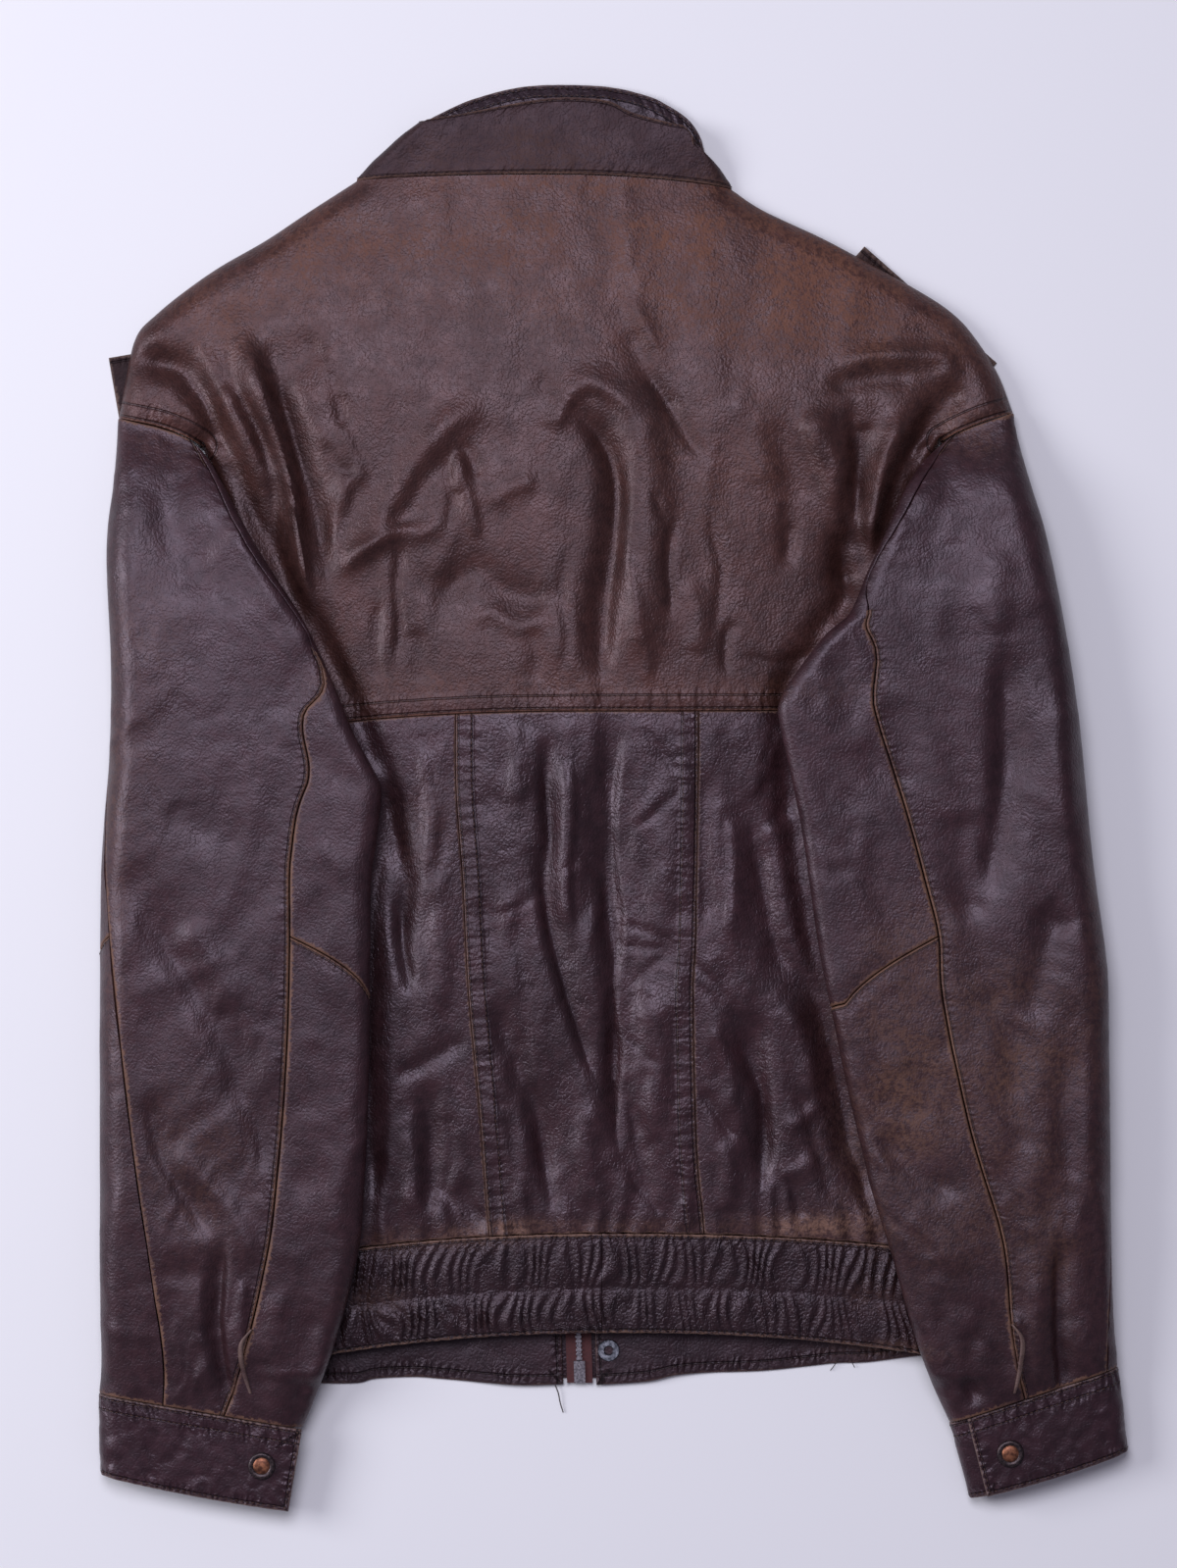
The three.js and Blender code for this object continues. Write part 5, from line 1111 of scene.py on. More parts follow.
sleeveForm = {
    "height": [(0, 24), (2, 31), (5, 37), (11, 38), (16, 35), (18, 31), (20, 24)],
    "elbowDrop": [(0, 0), (0.22, 0.95), (0.5, 1.1), (0.8, 0.6), (1, 0)], "elbowRow": 11, "last": 20,
    "round": 17, "turnShare": 0.65, "step": 2.3, "layerGap": 1.2, "armholeGap": 0.7,
    "thinnest": 14, "blend": 8, "headRows": 3, "bowRows": 4, "headRow": 11.0, "headLowest": 9,
}
for sleeve in sleeves.values():
    keys = np.linspace(0, 20, 121)
    rows = spline(sleeve["rows"], 6)
    outer, inner = spline(sleeve["outer"], 5), spline(sleeve["inner"], 5)
    sleeve["edges"] = [keys, np.interp(-rows[:, 0], -outer[:, 1], outer[:, 0]), rows[:, 0],
                       np.interp(-rows[:, 1], -inner[:, 1], inner[:, 0]), rows[:, 1]]


def sleeveRow(sleeve, r):
    keys, *values = sleeve["edges"]
    return [np.interp(r, keys, value) for value in values]


def bedHeight(x, y):
    over = backTop(x, y)
    aside = smooth((np.abs(x) - hemBed["side"]) / hemBed["fade"])
    below = smooth((hemBed["low"] - y) / hemBed["fade"])
    hem = hemBed["height"] * (1 - aside) * (1 - below) * smooth((hemBed["high"] - y) / hemBed["highFade"])
    return np.maximum.reduce([floorLift(x, y), over + sleeveForm["layerGap"] * smooth(over / 3), hem])


def sleevePoint(sleeve, r, s):
    outerX, outerY, innerX, innerY = sleeveRow(sleeve, r)
    share = (1 - np.cos(np.pi * s)) / 2
    first = sleeve["head"]
    headX, headY = along(first, share)
    bow = 1 - smooth(r / sleeveForm["bowRows"])
    x = lerp(outerX, innerX, share) + (headX - lerp(first[0][0], first[5][0], share)) * bow
    y = lerp(outerY, innerY, share) + (headY - lerp(first[0][1], first[5][1], share)) * bow
    y = y - sleeveForm["armholeGap"] * (1 - smooth(r))
    width = np.hypot(innerX - outerX, innerY - outerY)
    under = bedHeight(x, y)
    own = at(sleeveForm["height"], r) + foldField(sleeve["folds"], x, y)
    raised = softMax(own, under + sleeveForm["thinnest"], sleeveForm["blend"])
    leftX, _, rightX, _, _ = bodyEnds(np.array(sleeveForm["headRow"]))
    headHeight = np.maximum(sleeveForm["headLowest"], backBase(x, y, leftX, rightX, mainFolds))
    head = lerp(headHeight, raised, smooth(r / sleeveForm["headRows"]))
    top = np.where(r > sleeveForm["headRows"], raised, head)
    turn = np.minimum(sleeveForm["round"], sleeveForm["turnShare"] * (top - under))
    half = 0.5 * rise(np.minimum(share, 1 - share) * width / turn)
    onTop = np.sin(np.pi * s) >= 0
    return np.stack([x, y, under + (top - under) * np.where(onTop, 0.5 + half, 0.5 - half)], -1)


def loopShare(f):
    return np.sign(f) * np.arccos(1 - 2 * np.abs(f)) / np.pi


def sleeveCloth(side, x, y):
    lean = 62 if side < 0 else 112
    middle = lerp(0.22, 0.5, smooth((-60 - y) / 200))
    return crumples(x, y, [(0.8, 51 + side, 34, 2.0, lean), (middle, 54 + side, 14, 1.8, lean + 24),
                           (0.16, 57 + side, 8, 1.3, 10)])


def sleevePanel(name, sleeve, surface, rows, columns, borders, stitches):
    r, c = np.meshgrid(rows, columns, indexing="ij")
    if sleeve["side"] > 0:
        c = c[:, ::-1]
    p = surface(r, c)
    normal = gridNormals(p)
    height, values = sewnRelief(p, borders, stitches, 0.8)
    covered = (p[..., 1] > sleeve["seamFrom"]) & (r > 1.0)
    for key in ("seam", "rows"):
        values[key] = np.where(covered, relief["farOff"], values[key])
    topSide = smooth(normal[..., 2] * 2)
    creased = sleeveCloth(sleeve["side"], p[..., 0], p[..., 1])
    height = height + creased * topSide * smooth((values["seam"] + 3) / 14)
    outer = p + normal * height[..., None]
    inner = p - normal * body["wall"]
    values["worn"] = wornField(p[..., 0], p[..., 1]) * topSide
    finishCloth(name, outer, inner, values, sleeveLeather, normal * 0.1)


def sewnShares(start, end, length, count):
    near = [d / length for d in sewnSteps]
    shares = near[:-1] + list(np.linspace(near[-1], 1 - near[-1], count + 1))
    return lerp(start, end, np.array(shares + [1 - d for d in reversed(near[:-1])]))


def makeSleeve(side, sleeve):
    name = "sleeve_" + side
    last, elbow = sleeveForm["last"], sleeveForm["elbowRow"]

    def seamStep(r):
        return lerp(0.006, 0.0018, smooth(r / 5))

    backKeys = spline(sleeve["backSeam"], 5)
    frontKeys = spline(sleeve["frontSeam"], 5)

    def back(r):
        return loopShare(np.clip(at(backKeys, r), -0.99, 0.985))

    def front(r):
        return loopShare(at(frontKeys, r))

    def outerPanel(r, c):
        return sleevePoint(sleeve, r, lerp(front(r) + seamStep(r), back(r) - seamStep(r), c))

    def slant(r, c):
        near = np.where(r < elbow, r / elbow, (last - r) / (last - elbow))
        return r + at(sleeveForm["elbowDrop"], c) * near

    # Beside the back seam the upper under panel reaches right up into the armhole.
    def underPanel(r, c):
        row = slant(r, c) - 0.9 * (1 - smooth(c / 0.3)) * clamp01(1 - (r - 1) / 3)
        return sleevePoint(sleeve, row, lerp(back(row) + seamStep(row), front(row) + 2 - seamStep(row), c))

    rowCount = int(570 / sleeveForm["step"])
    borders = ["top", "left", "right", "bottom"]
    outerRows = sewnShares(0, last, 570, rowCount)
    outerColumns = sewnShares(0, 1, 110, 56)
    backSide = "right" if sleeve["side"] < 0 else "left"
    sleevePanel(name + "_outer_panel", sleeve, outerPanel, outerRows, outerColumns, borders,
                [(backSide, 1.8)])
    gap = 0.3 / 35
    fineColumns = list(sewnShares(0, 1, 60, 30) * 0.36)
    underColumns = np.array(fineColumns[:-5] + list(np.linspace(fineColumns[-5], 1, 34)))
    upperRows = sewnShares(1, elbow - gap, 290, 116)
    lowerRows = sewnShares(elbow + gap, last, 280, 116)
    farSide = "left" if sleeve["side"] < 0 else "right"
    sleevePanel(name + "_under_upper", sleeve, underPanel, upperRows, underColumns,
                ["top", farSide, "bottom"], [])
    sleevePanel(name + "_under_lower", sleeve, underPanel, lowerRows, underColumns,
                ["top", farSide, "bottom"],
                [("top", 1.8)])


# Cuffs: one strip that starts under its own end, goes round the wrist and ends in the snapped flap
cuffForm = {"wall": 2.2, "lapGap": 0.8, "round": 12.75, "radius": 7.75, "capHeight": 1.9}


def cuffPoint(sleeve, r, turn):
    cuff = sleeve["cuff"]
    flapPart = np.maximum(0, turn - 2)
    share = np.where(turn > 2, cuff["end"] * (1 - np.cos(flapPart * np.pi / 2)),
                     cuff["fold"] * (1 - np.cos(np.pi * turn)) / 2)
    top, bottom = np.array(cuff["top"]), np.array(cuff["bottom"])
    width = abs(top[1, 0] - top[0, 0])
    ax, ay = lerp(top[0, 0], top[1, 0], share), lerp(top[0, 1], top[1, 1], share)
    bx, by = lerp(bottom[0, 0], bottom[1, 0], share), lerp(bottom[0, 1], bottom[1, 1], share)
    full = lerp(cuff["heights"][0], cuff["heights"][1], r)
    height = np.where(turn > 2, full, lerp(full - cuffForm["wall"] - cuffForm["lapGap"], full,
                                           smooth(turn - 1)))
    fromEdge = np.where(turn > 2, share, np.minimum(share, cuff["fold"] - share))
    half = 0.5 * rise(fromEdge * width / cuffForm["round"])
    up = np.where((turn > 1) & (turn < 2), 0.5 - half, 0.5 + half)
    return np.stack([lerp(ax, bx, r), lerp(ay, by, r) + 4 * share * (1 - share) * cuff["bow"] * r,
                     height * up], -1)


def makeCuff(side, sleeve):
    name = "sleeve_" + side + "_cuff"
    turns = np.concatenate([np.linspace(sleeve["cuff"]["start"], 1, 12), np.linspace(1, 2, 26)[1:],
                            2 + np.arccos(1 - np.linspace(0, 1, 100)[1:-1]) * 2 / np.pi, [2.996, 3.0]])
    rows = sewnShares(0, 1, 48, 34)
    r, t = np.meshgrid(rows, turns, indexing="ij")
    if sleeve["side"] > 0:
        t = t[:, ::-1]
    p = cuffPoint(sleeve, r, t)
    normal = gridNormals(p)
    endSide = "right" if sleeve["side"] < 0 else "left"
    rowsSewn = [("top", 2.2), ("top", 8.6), ("bottom", 2.4), (endSide, 2.4)]
    height, values = sewnRelief(p, ["top", "bottom", endSide], rowsSewn[:2], 1.1, 7, rowsSewn[2:])
    outside = smooth((t - 1.85) / 0.2)
    x, y = p[..., 0], p[..., 1]
    creased = crumples(x, y, [(0.55, 61, 17, 1.6, 80), (0.28, 62, 8, 1.4, 20)])
    height = height + creased * smooth(values["seam"] / 8) * outside
    outer = p + normal * height[..., None]
    inner = p - normal * cuffForm["wall"]
    values["worn"] = wornField(x, y) * outside
    finishCloth(name, outer, inner, values, cuffLeather, normal * 0.1)
    lines = [stitchLine(stitched[name], border, offset, 2.5) for border, offset in rowsSewn]
    sewRows(name + "_stitches", lines, thread, name, 5)


# Turned shapes: a profile of (radius, height) about an upright axis
def turnedMesh(name, profile, centre, material):
    count = 40
    angle = np.linspace(0, 2 * np.pi, count, endpoint=False)
    profile = np.array(profile, float)
    ring = np.stack([np.cos(angle), np.sin(angle)], -1)
    points = np.concatenate([np.concatenate([ring * max(r, 1e-3), np.full((count, 1), z)], 1) for r,
                             z in profile])
    points += np.array(centre)
    index = np.arange(len(profile) * count).reshape(len(profile), count)
    nextOne = np.roll(index, -1, 1)
    quads = np.stack([index[:-1], nextOne[:-1], nextOne[1:], index[1:]], -1).reshape(-1, 4)
    return makeMesh(name, points, quads, {}, material)


def makeCuffSnap(side, sleeve):
    x, y = sleeve["snap"]
    cuff = sleeve["cuff"]
    r = (y - cuff["top"][1][1]) / (cuff["bottom"][1][1] - cuff["top"][1][1])
    z = lerp(cuff["heights"][0], cuff["heights"][1], r) + 0.2
    radius, high = cuffForm["radius"], cuffForm["capHeight"]
    rim = [(0.3, 0), (radius - 0.5, 0), (radius, 0.35), (radius, 0.9), (radius - 0.5, 1.5),
           (radius - 1.4, high - 0.1),
           (radius - 2.2, high - 0.35), (radius * 0.62, high - 0.5), (radius * 0.58, high - 0.9),
           (0.3, high - 0.9)]
    finishPiece(turnedMesh("sleeve_" + side + "_cuff_snap_rim", rim, (x, y, z), darkMetal),
                ["sleeve_" + side + "_cuff_snap"])
    button = [(0.0, high - 1.0), (radius * 0.6, high - 1.0), (radius * 0.62, high - 0.6),
              (radius * 0.55, high - 0.2),
              (radius * 0.35, high + 0.1), (0.0, high + 0.2)]
    finishPiece(turnedMesh("sleeve_" + side + "_cuff_snap_centre", button, (x, y, z), copper))


# The slit's bound edge, lying on the sleeve beside the back seam
def onSleeve(sleeve, x, y):
    low, high = np.zeros(x.shape), np.full(x.shape, 20.0)
    for _ in range(24):
        r = (low + high) / 2
        outerX, _, innerX, _ = sleeveRow(sleeve, r)
        share = clamp01((x - outerX) / (innerX - outerX))
        p = sleevePoint(sleeve, r, loopShare(share))
        above = p[..., 1] > y
        low, high = np.where(above, r, low), np.where(above, high, r)
    return p


def makeSlit(side, sleeve):
    name = "sleeve_" + side + "_slit_edge"
    share, across = np.meshgrid(np.linspace(0, 1, 40), np.linspace(-1, 1, 9), indexing="ij")
    x, y = along(spline(sleeve["slit"], 6), share)
    p = onSleeve(sleeve, x + 1.5 * across * (0.55 + 0.45 * np.sin(np.pi * share)), y)
    p[..., 2] += 0.5 + 0.9 * np.sqrt(1 - 0.95 * across ** 2)
    inner = p.copy()
    inner[..., 2] -= 1.1
    flat = 0 * across
    values = {"seam": flat + 0.2, "worn": flat + 0.9, "rows": flat + 99, "others": flat + 99, "along": flat}
    made = wallMesh(name + "_wall", p, inner, values, cuffLeather)
    rowsOn.setdefault("sleeve_" + side + "_under_lower", []).append(made)
    finishPiece(made, [name])


for side, sleeve in sleeves.items():
    makeSleeve(side, sleeve)
    makeCuff(side, sleeve)
    makeCuffSnap(side, sleeve)
    makeSlit(side, sleeve)
print("sleeves ready")


# Flat pieces under the back: fronts, hem bands, flap, shoulder straps and zip
def flatPiece(name, x, y, z, thickness, material, borders=(), stitches=(), cloth=0.0, others=()):
    p = np.stack([x, y, z + thickness], -1)
    normal = gridNormals(p)
    height, values = sewnRelief(p, borders, stitches, 0.8, 3, others)
    creased = crumples(x, y, [(1.0, 71, 22, 1.5, 60), (0.5, 72, 9, 1.4, 20)])
    height = height + cloth * creased * smooth(values["seam"] / 9)
    outer = p + normal * np.clip(height, -0.6 * thickness, 9)[..., None]
    inner = p.copy()
    inner[..., 2] = z
    values["worn"] = wornField(x, y)
    finishCloth(name, outer, inner, values, material, np.array([0, 0, 0.12]))


front = {"zipGap": 15.6, "lastRow": 28.6, "neckHalf": [104, 96, 86, 76, 62, 42, 7.4]}


def makeFronts():
    for name, side in (("front_left", -1), ("front_right", 1)):
        r, c = np.meshgrid(np.concatenate([[0.5], np.linspace(1, front["lastRow"], 130)]),
                           np.linspace(0, 1, 46),
                           indexing="ij")
        leftX, _, rightX, _, middle = bodyEnds(r)
        inset = lerp(8, 3.4, smooth((r - 4) / 4)) + 2.5 * smooth(1 - np.abs(r - 13))
        neck = np.interp(r, range(7), front["neckHalf"])
        inside = centreX(middle) + side * np.maximum(front["zipGap"] / 2, np.where(r < 6, neck, 0))
        outside = leftX + inset if side < 0 else rightX - inset
        x = lerp(outside, inside, c) if side < 0 else lerp(inside, outside, c)
        armhole = smooth(2.5 - np.abs(r - 10.6)) * ((1 - c) if side < 0 else c)
        y = backY(r, x) + 1.5 * armhole
        flatPiece(name, x, y, floorLift(x, y), 1.6, frontLeather)


hemEdges = {
    "left": [(-188, -337), (-170, -337.2), (-147, -337), (-137, -334.5), (-115, -333.5), (-100, -334.5),
             (-71, -337),
             (-52, -338.2), (-29, -337.5)],
    "right": [(-10, -338), (19, -336), (35, -332.5), (54, -331), (85, -330), (114, -327), (128, -325.5),
              (146, -325),
              (174, -321.5), (193, -321)],
}


def makeHems():
    for side, edge in hemEdges.items():
        r, c = np.meshgrid(sewnShares(0, 1, 75, 34), sewnShares(0, 1, 170, 84), indexing="ij")
        x, low = along(spline(edge, 4), c)
        y = lerp(backY(np.full(x.shape, front["lastRow"]), x) - 0.6, low, r)
        x = x + centreX(y) - centreX(flap["hem"][1])
        zipSide = "right" if side == "left" else "left"
        rows = [("bottom", 5.6), (zipSide, 3.0)]
        flatPiece("hem_front_" + side, x, y, floorLift(x, y), 1.6, frontLeather,
                  ["bottom", zipSide], rows[:1], 0.35, rows[1:])
        lines = [stitchLine(stitched["hem_front_" + side], *row) for row in rows]
        sewRows("hem_front_" + side + "_stitches", lines, darkThread, "hem_front_" + side,
                8)


zipForm = {"tape": 6, "tapeWall": 0.8, "z": 2.8, "chain": 2.3, "foot": -336.6, "head": 296}
teeth = {"Pitch": 0.0025, "Width": 0.0034, "Thick": 0.0011}


def strip(start, end, foot, head, count, across=6):
    r, c = np.meshgrid(np.linspace(0, 1, count), np.linspace(0, 1, across), indexing="ij")
    y = lerp(head, foot, r)
    return centreX(y) + lerp(start, end, c), y


def makeZip():
    x, y = strip(-flap["left"], flap["right"], flap["foot"], flap["head"], 120, 24)
    flatPiece("storm_flap", x, y, 0 * x, 1.6, frontLeather, ["left", "right", "bottom"])
    half = zipForm["chain"] / 2
    for name, start, end in (("zip_tape_left", -half - 0.2 - zipForm["tape"], -half - 0.2),
                             ("zip_tape_right", half + 0.2, half + 0.2 + zipForm["tape"])):
        x, y = strip(start, end, zipForm["foot"], zipForm["head"], 160, 7)
        flatPiece(name, x, y, 0 * x + zipForm["z"], zipForm["tapeWall"], tapeCloth)


def makeStraps():
    for side, strap in straps.items():
        (ax, ay), (bx, by) = strap["start"], strap["end"]
        length = math.hypot(bx - ax, by - ay)
        ux, uy = (bx - ax) / length, (by - ay) / length
        half = strap["width"] / 2
        r, c = np.meshgrid(sewnShares(half, -half, strap["width"], 18), sewnShares(0, 1, length, 40),
                           indexing="ij")
        x = ax + ux * length * c - uy * r
        y = ay + uy * length * c + ux * r
        flatPiece("shoulder_strap_" + side, x, y, 0 * x, 1.6, strapPaintedShadeLeather,
                  ["top", "bottom", "left", "right"], [("top", 3), ("bottom", 3)])


# Zip teeth: small blocks that mesh along the chain
def makeTeeth():
    y = np.linspace(zipForm["head"] - 30, zipForm["foot"] + 14, 120)
    path = np.stack([centreX(y), y, 0 * y + zipForm["z"] + 1.5], -1) * 0.001
    edges = [(i, i + 1) for i in range(len(path) - 1)]
    made = runTree("zip_teeth", toothRows, [tuple(q) for q in path], edges, zipMetal,
                   {**teeth, "Metal": zipMetal})
    made.data.polygons.foreach_set("use_smooth", np.zeros(len(made.data.polygons), bool))
    finishPiece(made)


looseThreads = [
    {"px": [(566, 1416), (569, 1424), (571, 1434), (574, 1444)], "radius": 0.32, "z": (2.0, 0.5)},
    {"px": [(856, 1388), (853, 1394), (848, 1401)], "radius": 0.22, "z": (2.5, 0.6)},
    {"px": [(868, 1388), (870, 1392), (873, 1398)], "radius": 0.2, "z": (2.5, 0.6)},
]


def makeLooseThread(number, settings):
    line = spline(onPlan(settings["px"]), 8)
    run = np.linspace(0, 1, len(line))
    z = lerp(settings["z"][0], settings["z"][1], run)
    centre = np.stack([line[:, 0], line[:, 1], z], -1)
    forward = np.gradient(centre, axis=0)
    forward /= np.linalg.norm(forward, axis=1, keepdims=True)
    across = np.cross(forward, [0, 0, 1.0])
    across /= np.linalg.norm(across, axis=1, keepdims=True)
    upward = np.cross(across, forward)
    turn = np.linspace(0, 2 * np.pi, 7)[:-1]
    ring = (across[:, None] * np.cos(turn)[None, :, None] + upward[:, None] * np.sin(turn)[None, :, None])
    points = (centre[:, None] + settings["radius"] * ring).reshape(-1, 3)
    index = np.arange(len(points)).reshape(len(line), 6)
    after = np.roll(index, -1, axis=1)
    quads = np.stack([index[:-1], after[:-1], after[1:], index[1:]], -1).reshape(-1, 4)
    finishPiece(makeMesh("loose_thread_" + str(number), points, quads, {}, darkThread))


makeFronts()
makeHems()
makeZip()
makeTeeth()
for number, settings in enumerate(looseThreads):
    makeLooseThread(number, settings)
makeStraps()
print("fronts ready")

# Collar
collar = {
    "standTop": [(-110, 387), (-85, 391), (-48, 398), (-26, 400), (-3, 398), (10, 391.5), (32, 385.5),
                 (41, 383),
                 (47, 372)],
    "edgeOuter": [(-111, 386), (-93, 395), (-81, 400), (-59, 406), (-37, 408.2), (-4, 407.2), (19, 402),
                  (30, 397),
                  (42, 389), (49, 379.5), (52, 370)],
    "edgeInner": [(-98, 376), (-84, 381), (-72, 385), (-55, 389), (-36, 391), (-6, 390), (10, 386),
                  (20, 381),
                  (30, 374), (36, 367), (38, 361)],
    "frontLeft": [(-38, 312), (-50, 318), (-78, 338), (-98, 362), (-112, 380)],
    "frontRight": [(-38, 312), (-14, 317), (14, 330), (34, 352), (44, 367)],
    "height": 12.5,
}


def shellPiece(name, p, wall, material, borders, rows, cloth, seed):
    normal = gridNormals(p)
    height, values = sewnRelief(p, borders, rows, 1.0, seed)
    x, y = p[..., 0], p[..., 1]
    creased = crumples(x, y, [(1.0, seed, 20, 1.6, 10), (0.5, seed + 1, 8, 1.3, 60)])
    height = height + cloth * creased * smooth(values["seam"] / 8)
    outer = p + normal * height[..., None]
    inner = p - normal * wall
    inner[..., 2] = np.maximum(inner[..., 2], 0.0)
    outer[..., 2] = np.maximum(outer[..., 2], inner[..., 2])
    values["worn"] = wornField(x, y)
    finishCloth(name, outer, inner, values, material, normal * 0.1)


def makeCollar():
    leftX, leftY, rightX, rightY, _ = (float(v) for v in bodyEnds(np.array(0.0)))
    ends = [body["sideRound"] / 200 * (1 - math.cos(i * math.pi / 16)) for i in range(9)]
    shares = np.array(ends[:-1] + list(np.linspace(ends[-1], 1 - ends[-1], 96))
                      + [1 - e for e in reversed(ends[:-1])])
    r, c = np.meshgrid(1 - sewnShares(0, 1, 42, 18), shares, indexing="ij")
    xLow = lerp(leftX, rightX, c)
    yLow = backY(np.zeros(xLow.shape), xLow) + 0.6
    xHigh, yHigh = along(spline(collar["standTop"], 4), c)
    bulge = 3 * np.sin(np.pi * r) * np.abs(2 * c - 1) ** 3 * np.sign(c - 0.5)
    x, y = lerp(xLow, xHigh, r) + bulge, lerp(yLow, yHigh, r)
    inward = np.minimum(c, 1 - c) * lerp(216, 170, r)
    crown = lerp(backBase(xLow, yLow, leftX, rightX, mainFolds), collar["height"], smooth(r * 1.3))
    foot = 7 * smooth((r - 0.5) / 0.35)
    z = foot + (crown - foot) * rise(inward / lerp(body["sideRound"], 6, r))
    rows = [("bottom", 1.8), ("top", 1.8)]
    shellPiece("collar_stand", np.stack([x, y, z], -1), body["wall"], collarLeather,
               ["top", "bottom"], rows, 0.3, 81)

    r, c = np.meshgrid(sewnShares(0, 1, 17, 12), np.linspace(0, 1, 130), indexing="ij")
    (ax, ay), (bx, by) = along(spline(collar["edgeOuter"], 4), c), along(spline(collar["edgeInner"], 4), c)
    up = np.sin(np.pi * clamp01(c)) ** 0.5
    z = lerp(3.4, lerp(3.6, 6.4, up), smooth(r * 2))
    edgeRows = [("top", 2.2), ("top", 7.3)]
    shellPiece("collar_edge", np.stack([lerp(ax, bx, r), lerp(ay, by, r), z], -1), 2.2, edgeLeather,
               ["top"], edgeRows, 0.25, 83)

    for name, side in (("collar_front_left", -1), ("collar_front_right", 1)):
        zipEdge = float(centreX(300.0)) + side * front["zipGap"] / 2
        r, c = np.meshgrid(np.linspace(0, 1, 14), np.linspace(1, 0, 40) if side < 0
                           else np.linspace(0, 1, 40),
                           indexing="ij")
        i = lerp(6, 0.7, c)
        _, _, _, _, middle = bodyEnds(i)
        half = np.interp(i, range(7), front["neckHalf"])
        xLow = centreX(middle) + side * np.maximum(front["zipGap"] / 2, half - 0.8)
        yLow = backY(i, xLow) + 1.2
        xTop, yTop = along(collar["frontLeft" if side < 0 else "frontRight"], c)
        xTop = side * np.maximum(side * xTop, side * zipEdge)
        x, y = lerp(xTop, xLow, r), lerp(yTop, yLow, r)
        flatPiece(name, x, y, floorLift(x, y), 1.6, collarLeather, ["top"])


makeCollar()
print("collar ready")

# Stitching of the body and sleeves: piece, its borders and how far in each row lies
sewing = {
    "back_yoke": ("yoke_leather", [("bottom", 1.6), ("bottom", 9.0)]),
    "back_centre_panel": ("body_leather", [("left", 1.4), ("left", 9.2), ("right", 1.4), ("right", 9.2)]),
    "waistband_left": ("band_leather", [("top", 2.2), ("bottom", 2.2)]),
    "waistband_right": ("band_leather", [("top", 2.2), ("bottom", 2.2)]),
    "collar_stand": ("collar_leather", [("bottom", 1.8), ("top", 1.8)]),
    "collar_edge": ("collar_edge_leather", [("top", 2.2), ("top", 7.3)]),
    "sleeve_left_outer_panel": ("sleeve_leather", [("right", 1.8)]),
    "sleeve_left_under_lower": ("sleeve_leather", [("top", 1.8)]),
    "sleeve_right_outer_panel": ("sleeve_leather", [("left", 1.8)]),
    "sleeve_right_under_lower": ("sleeve_leather", [("top", 1.8)]),
}
for seed, (name, (slot, rows)) in enumerate(sewing.items()):
    lines = [stitchLine(stitched[name], *row) for row in rows]
    if name.endswith("outer_panel"):
        start = sleeves[name.split("_")[1]]["seamFrom"]
        lines = [line[line[:, 1] < start] for line in lines]
    sewRows(name + "_stitches", lines, thread, name, seed)
print("stitches ready")

# Zip and snaps keep their solids, with metal finishes
for name, material in (("zip_chain", zipMetal), ("zip_box", zipMetal), ("zip_slider", zipMetal),
                       ("zip_tab", zipMetal), ("hem_snap_ring", steel)):
    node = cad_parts[name]
    node.data.materials.clear()
    node.data.materials.append(material)

# Floor, light and camera
studio = {"world": (0.82, 0.76, 1.0), "worldStrength": 0.2, "floor": (0.88, 0.9, 0.89),
          "half": 6.0, "level": -0.0004}


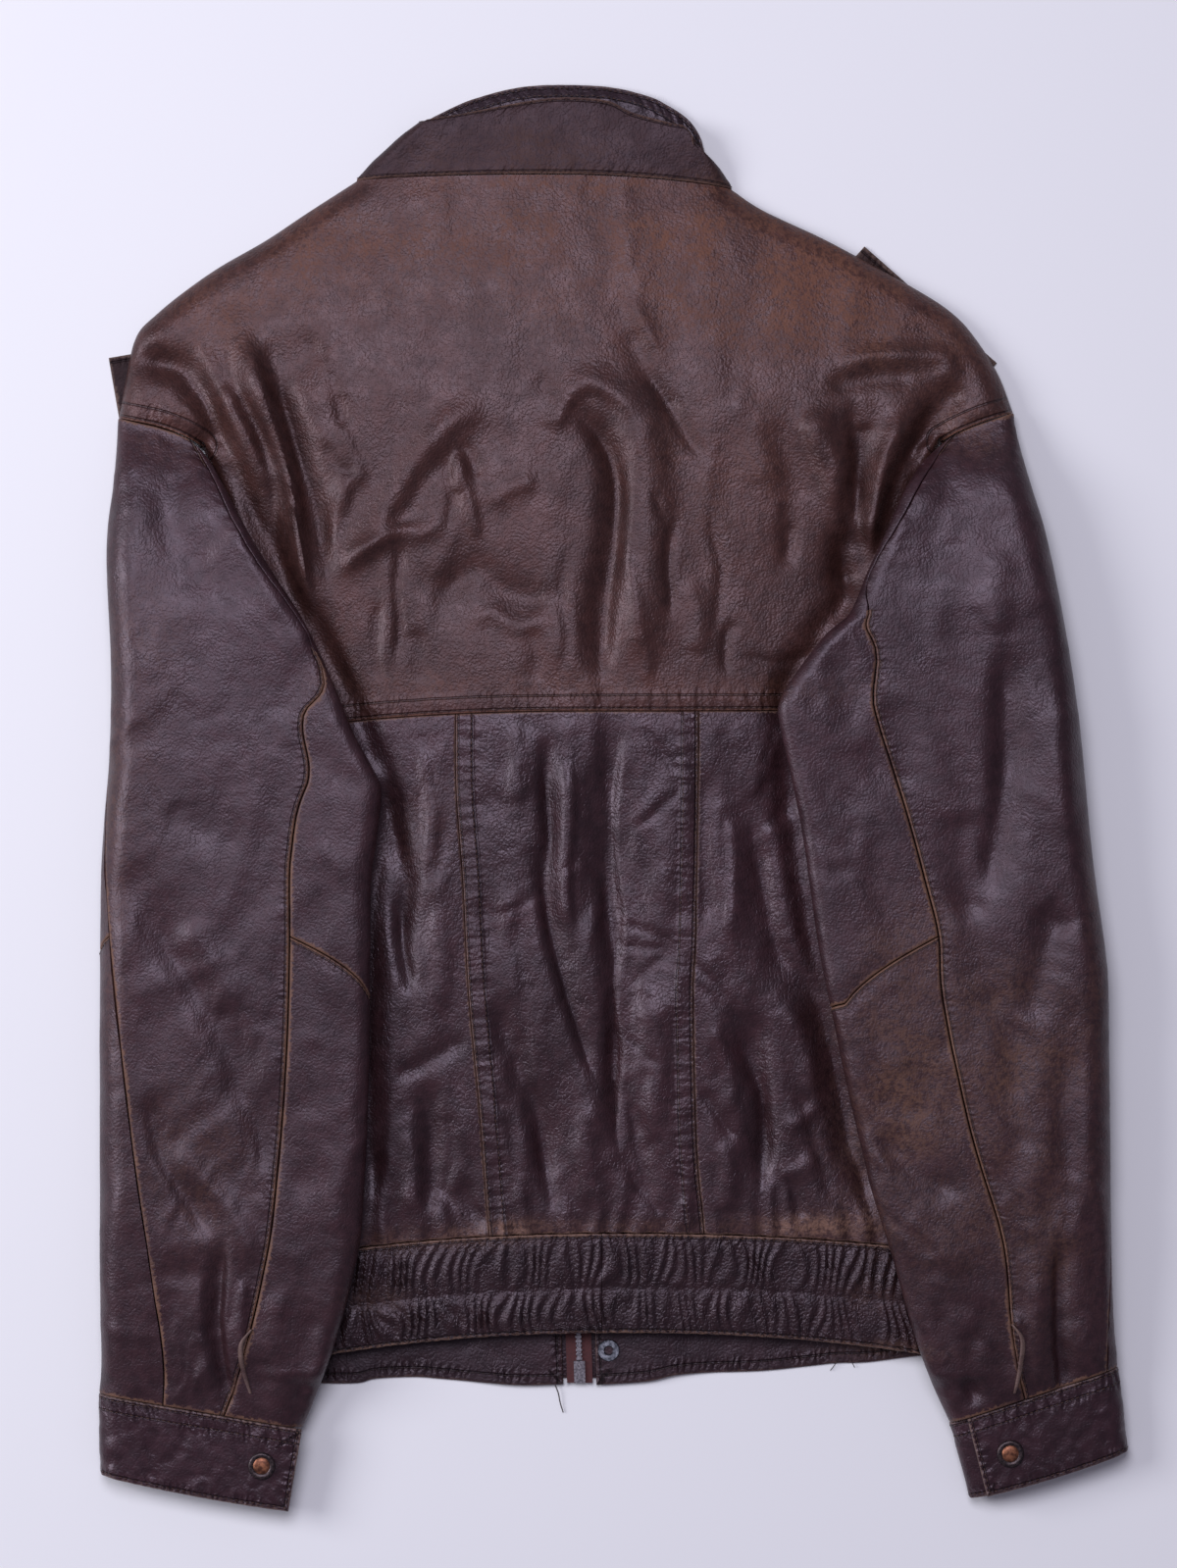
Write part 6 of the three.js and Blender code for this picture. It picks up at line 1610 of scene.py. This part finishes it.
def makeFloor():
    mesh = bpy.data.meshes.new("floor")
    corners = [(x * studio["half"], y * studio["half"], studio["level"])
               for x, y in ((-1, -1), (1, -1), (1, 1), (-1, 1))]
    mesh.from_pydata(corners, [], [(0, 1, 2, 3)])
    material = bpy.data.materials.new("paleFloor")
    material.use_nodes = True
    shader = material.node_tree.nodes["Principled BSDF"]
    shader.inputs["Base Color"].default_value = (*studio["floor"], 1)
    shader.inputs["Roughness"].default_value = 0.7
    mesh.materials.append(material)
    floor = bpy.data.objects.new("floor", mesh)
    scene.collection.objects.link(floor)


def addLight(name, place, target, size, energy, colour):
    data = bpy.data.lights.new(name, "AREA")
    data.shape, data.size, data.energy, data.color = "DISK", size, energy, colour
    lamp = bpy.data.objects.new(name, data)
    lamp.location = place
    lamp.rotation_euler = (Vector(target) - Vector(place)).to_track_quat("-Z", "Y").to_euler()
    scene.collection.objects.link(lamp)


makeFloor()
addLight("softBox", (-0.35, 1.1, 3.1), (0, 0, 0), 1.7, 56, (0.88, 0.85, 1.0))
addLight("windowLight", (-2.1, 0.3, 1.4), (0, 0, 0), 1.3, 37, (0.92, 0.9, 1.0))
world = bpy.data.worlds.new("studio")
world.use_nodes = True
world.node_tree.nodes["Background"].inputs[0].default_value = (*studio["world"], 1)
world.node_tree.nodes["Background"].inputs[1].default_value = studio["worldStrength"]
scene.world = world
scene.view_settings.view_transform = "Standard"

camera = bpy.data.cameras.new("camera")
camera.sensor_fit = "VERTICAL"
camera.sensor_height = 24
camera.lens = 24 * view["away"] / (view["height"] * view["pixel"])
camera.clip_end = 20
eye = bpy.data.objects.new("camera", camera)
(middleX, middleY), = onPlan([(view["width"] / 2, view["height"] / 2)])
eye.location = (middleX * 0.001, middleY * 0.001, (view["plane"] + view["away"]) * 0.001)
scene.collection.objects.link(eye)
scene.camera = eye

for side, beside in (("left", "back_left_panel"), ("right", "back_right_panel")):
    name = "sleeve_" + side
for node in ("zip_tape_left", "zip_tape_right"):
    rowsOn.setdefault("storm_flap", []).append(cloths.pop(node)[0])
for node, (thing, width, length, area) in cloths.items():
    print("cut", node, round(width, 3), "x", round(length, 3), "m, area", round(area, 4))

print("finished")
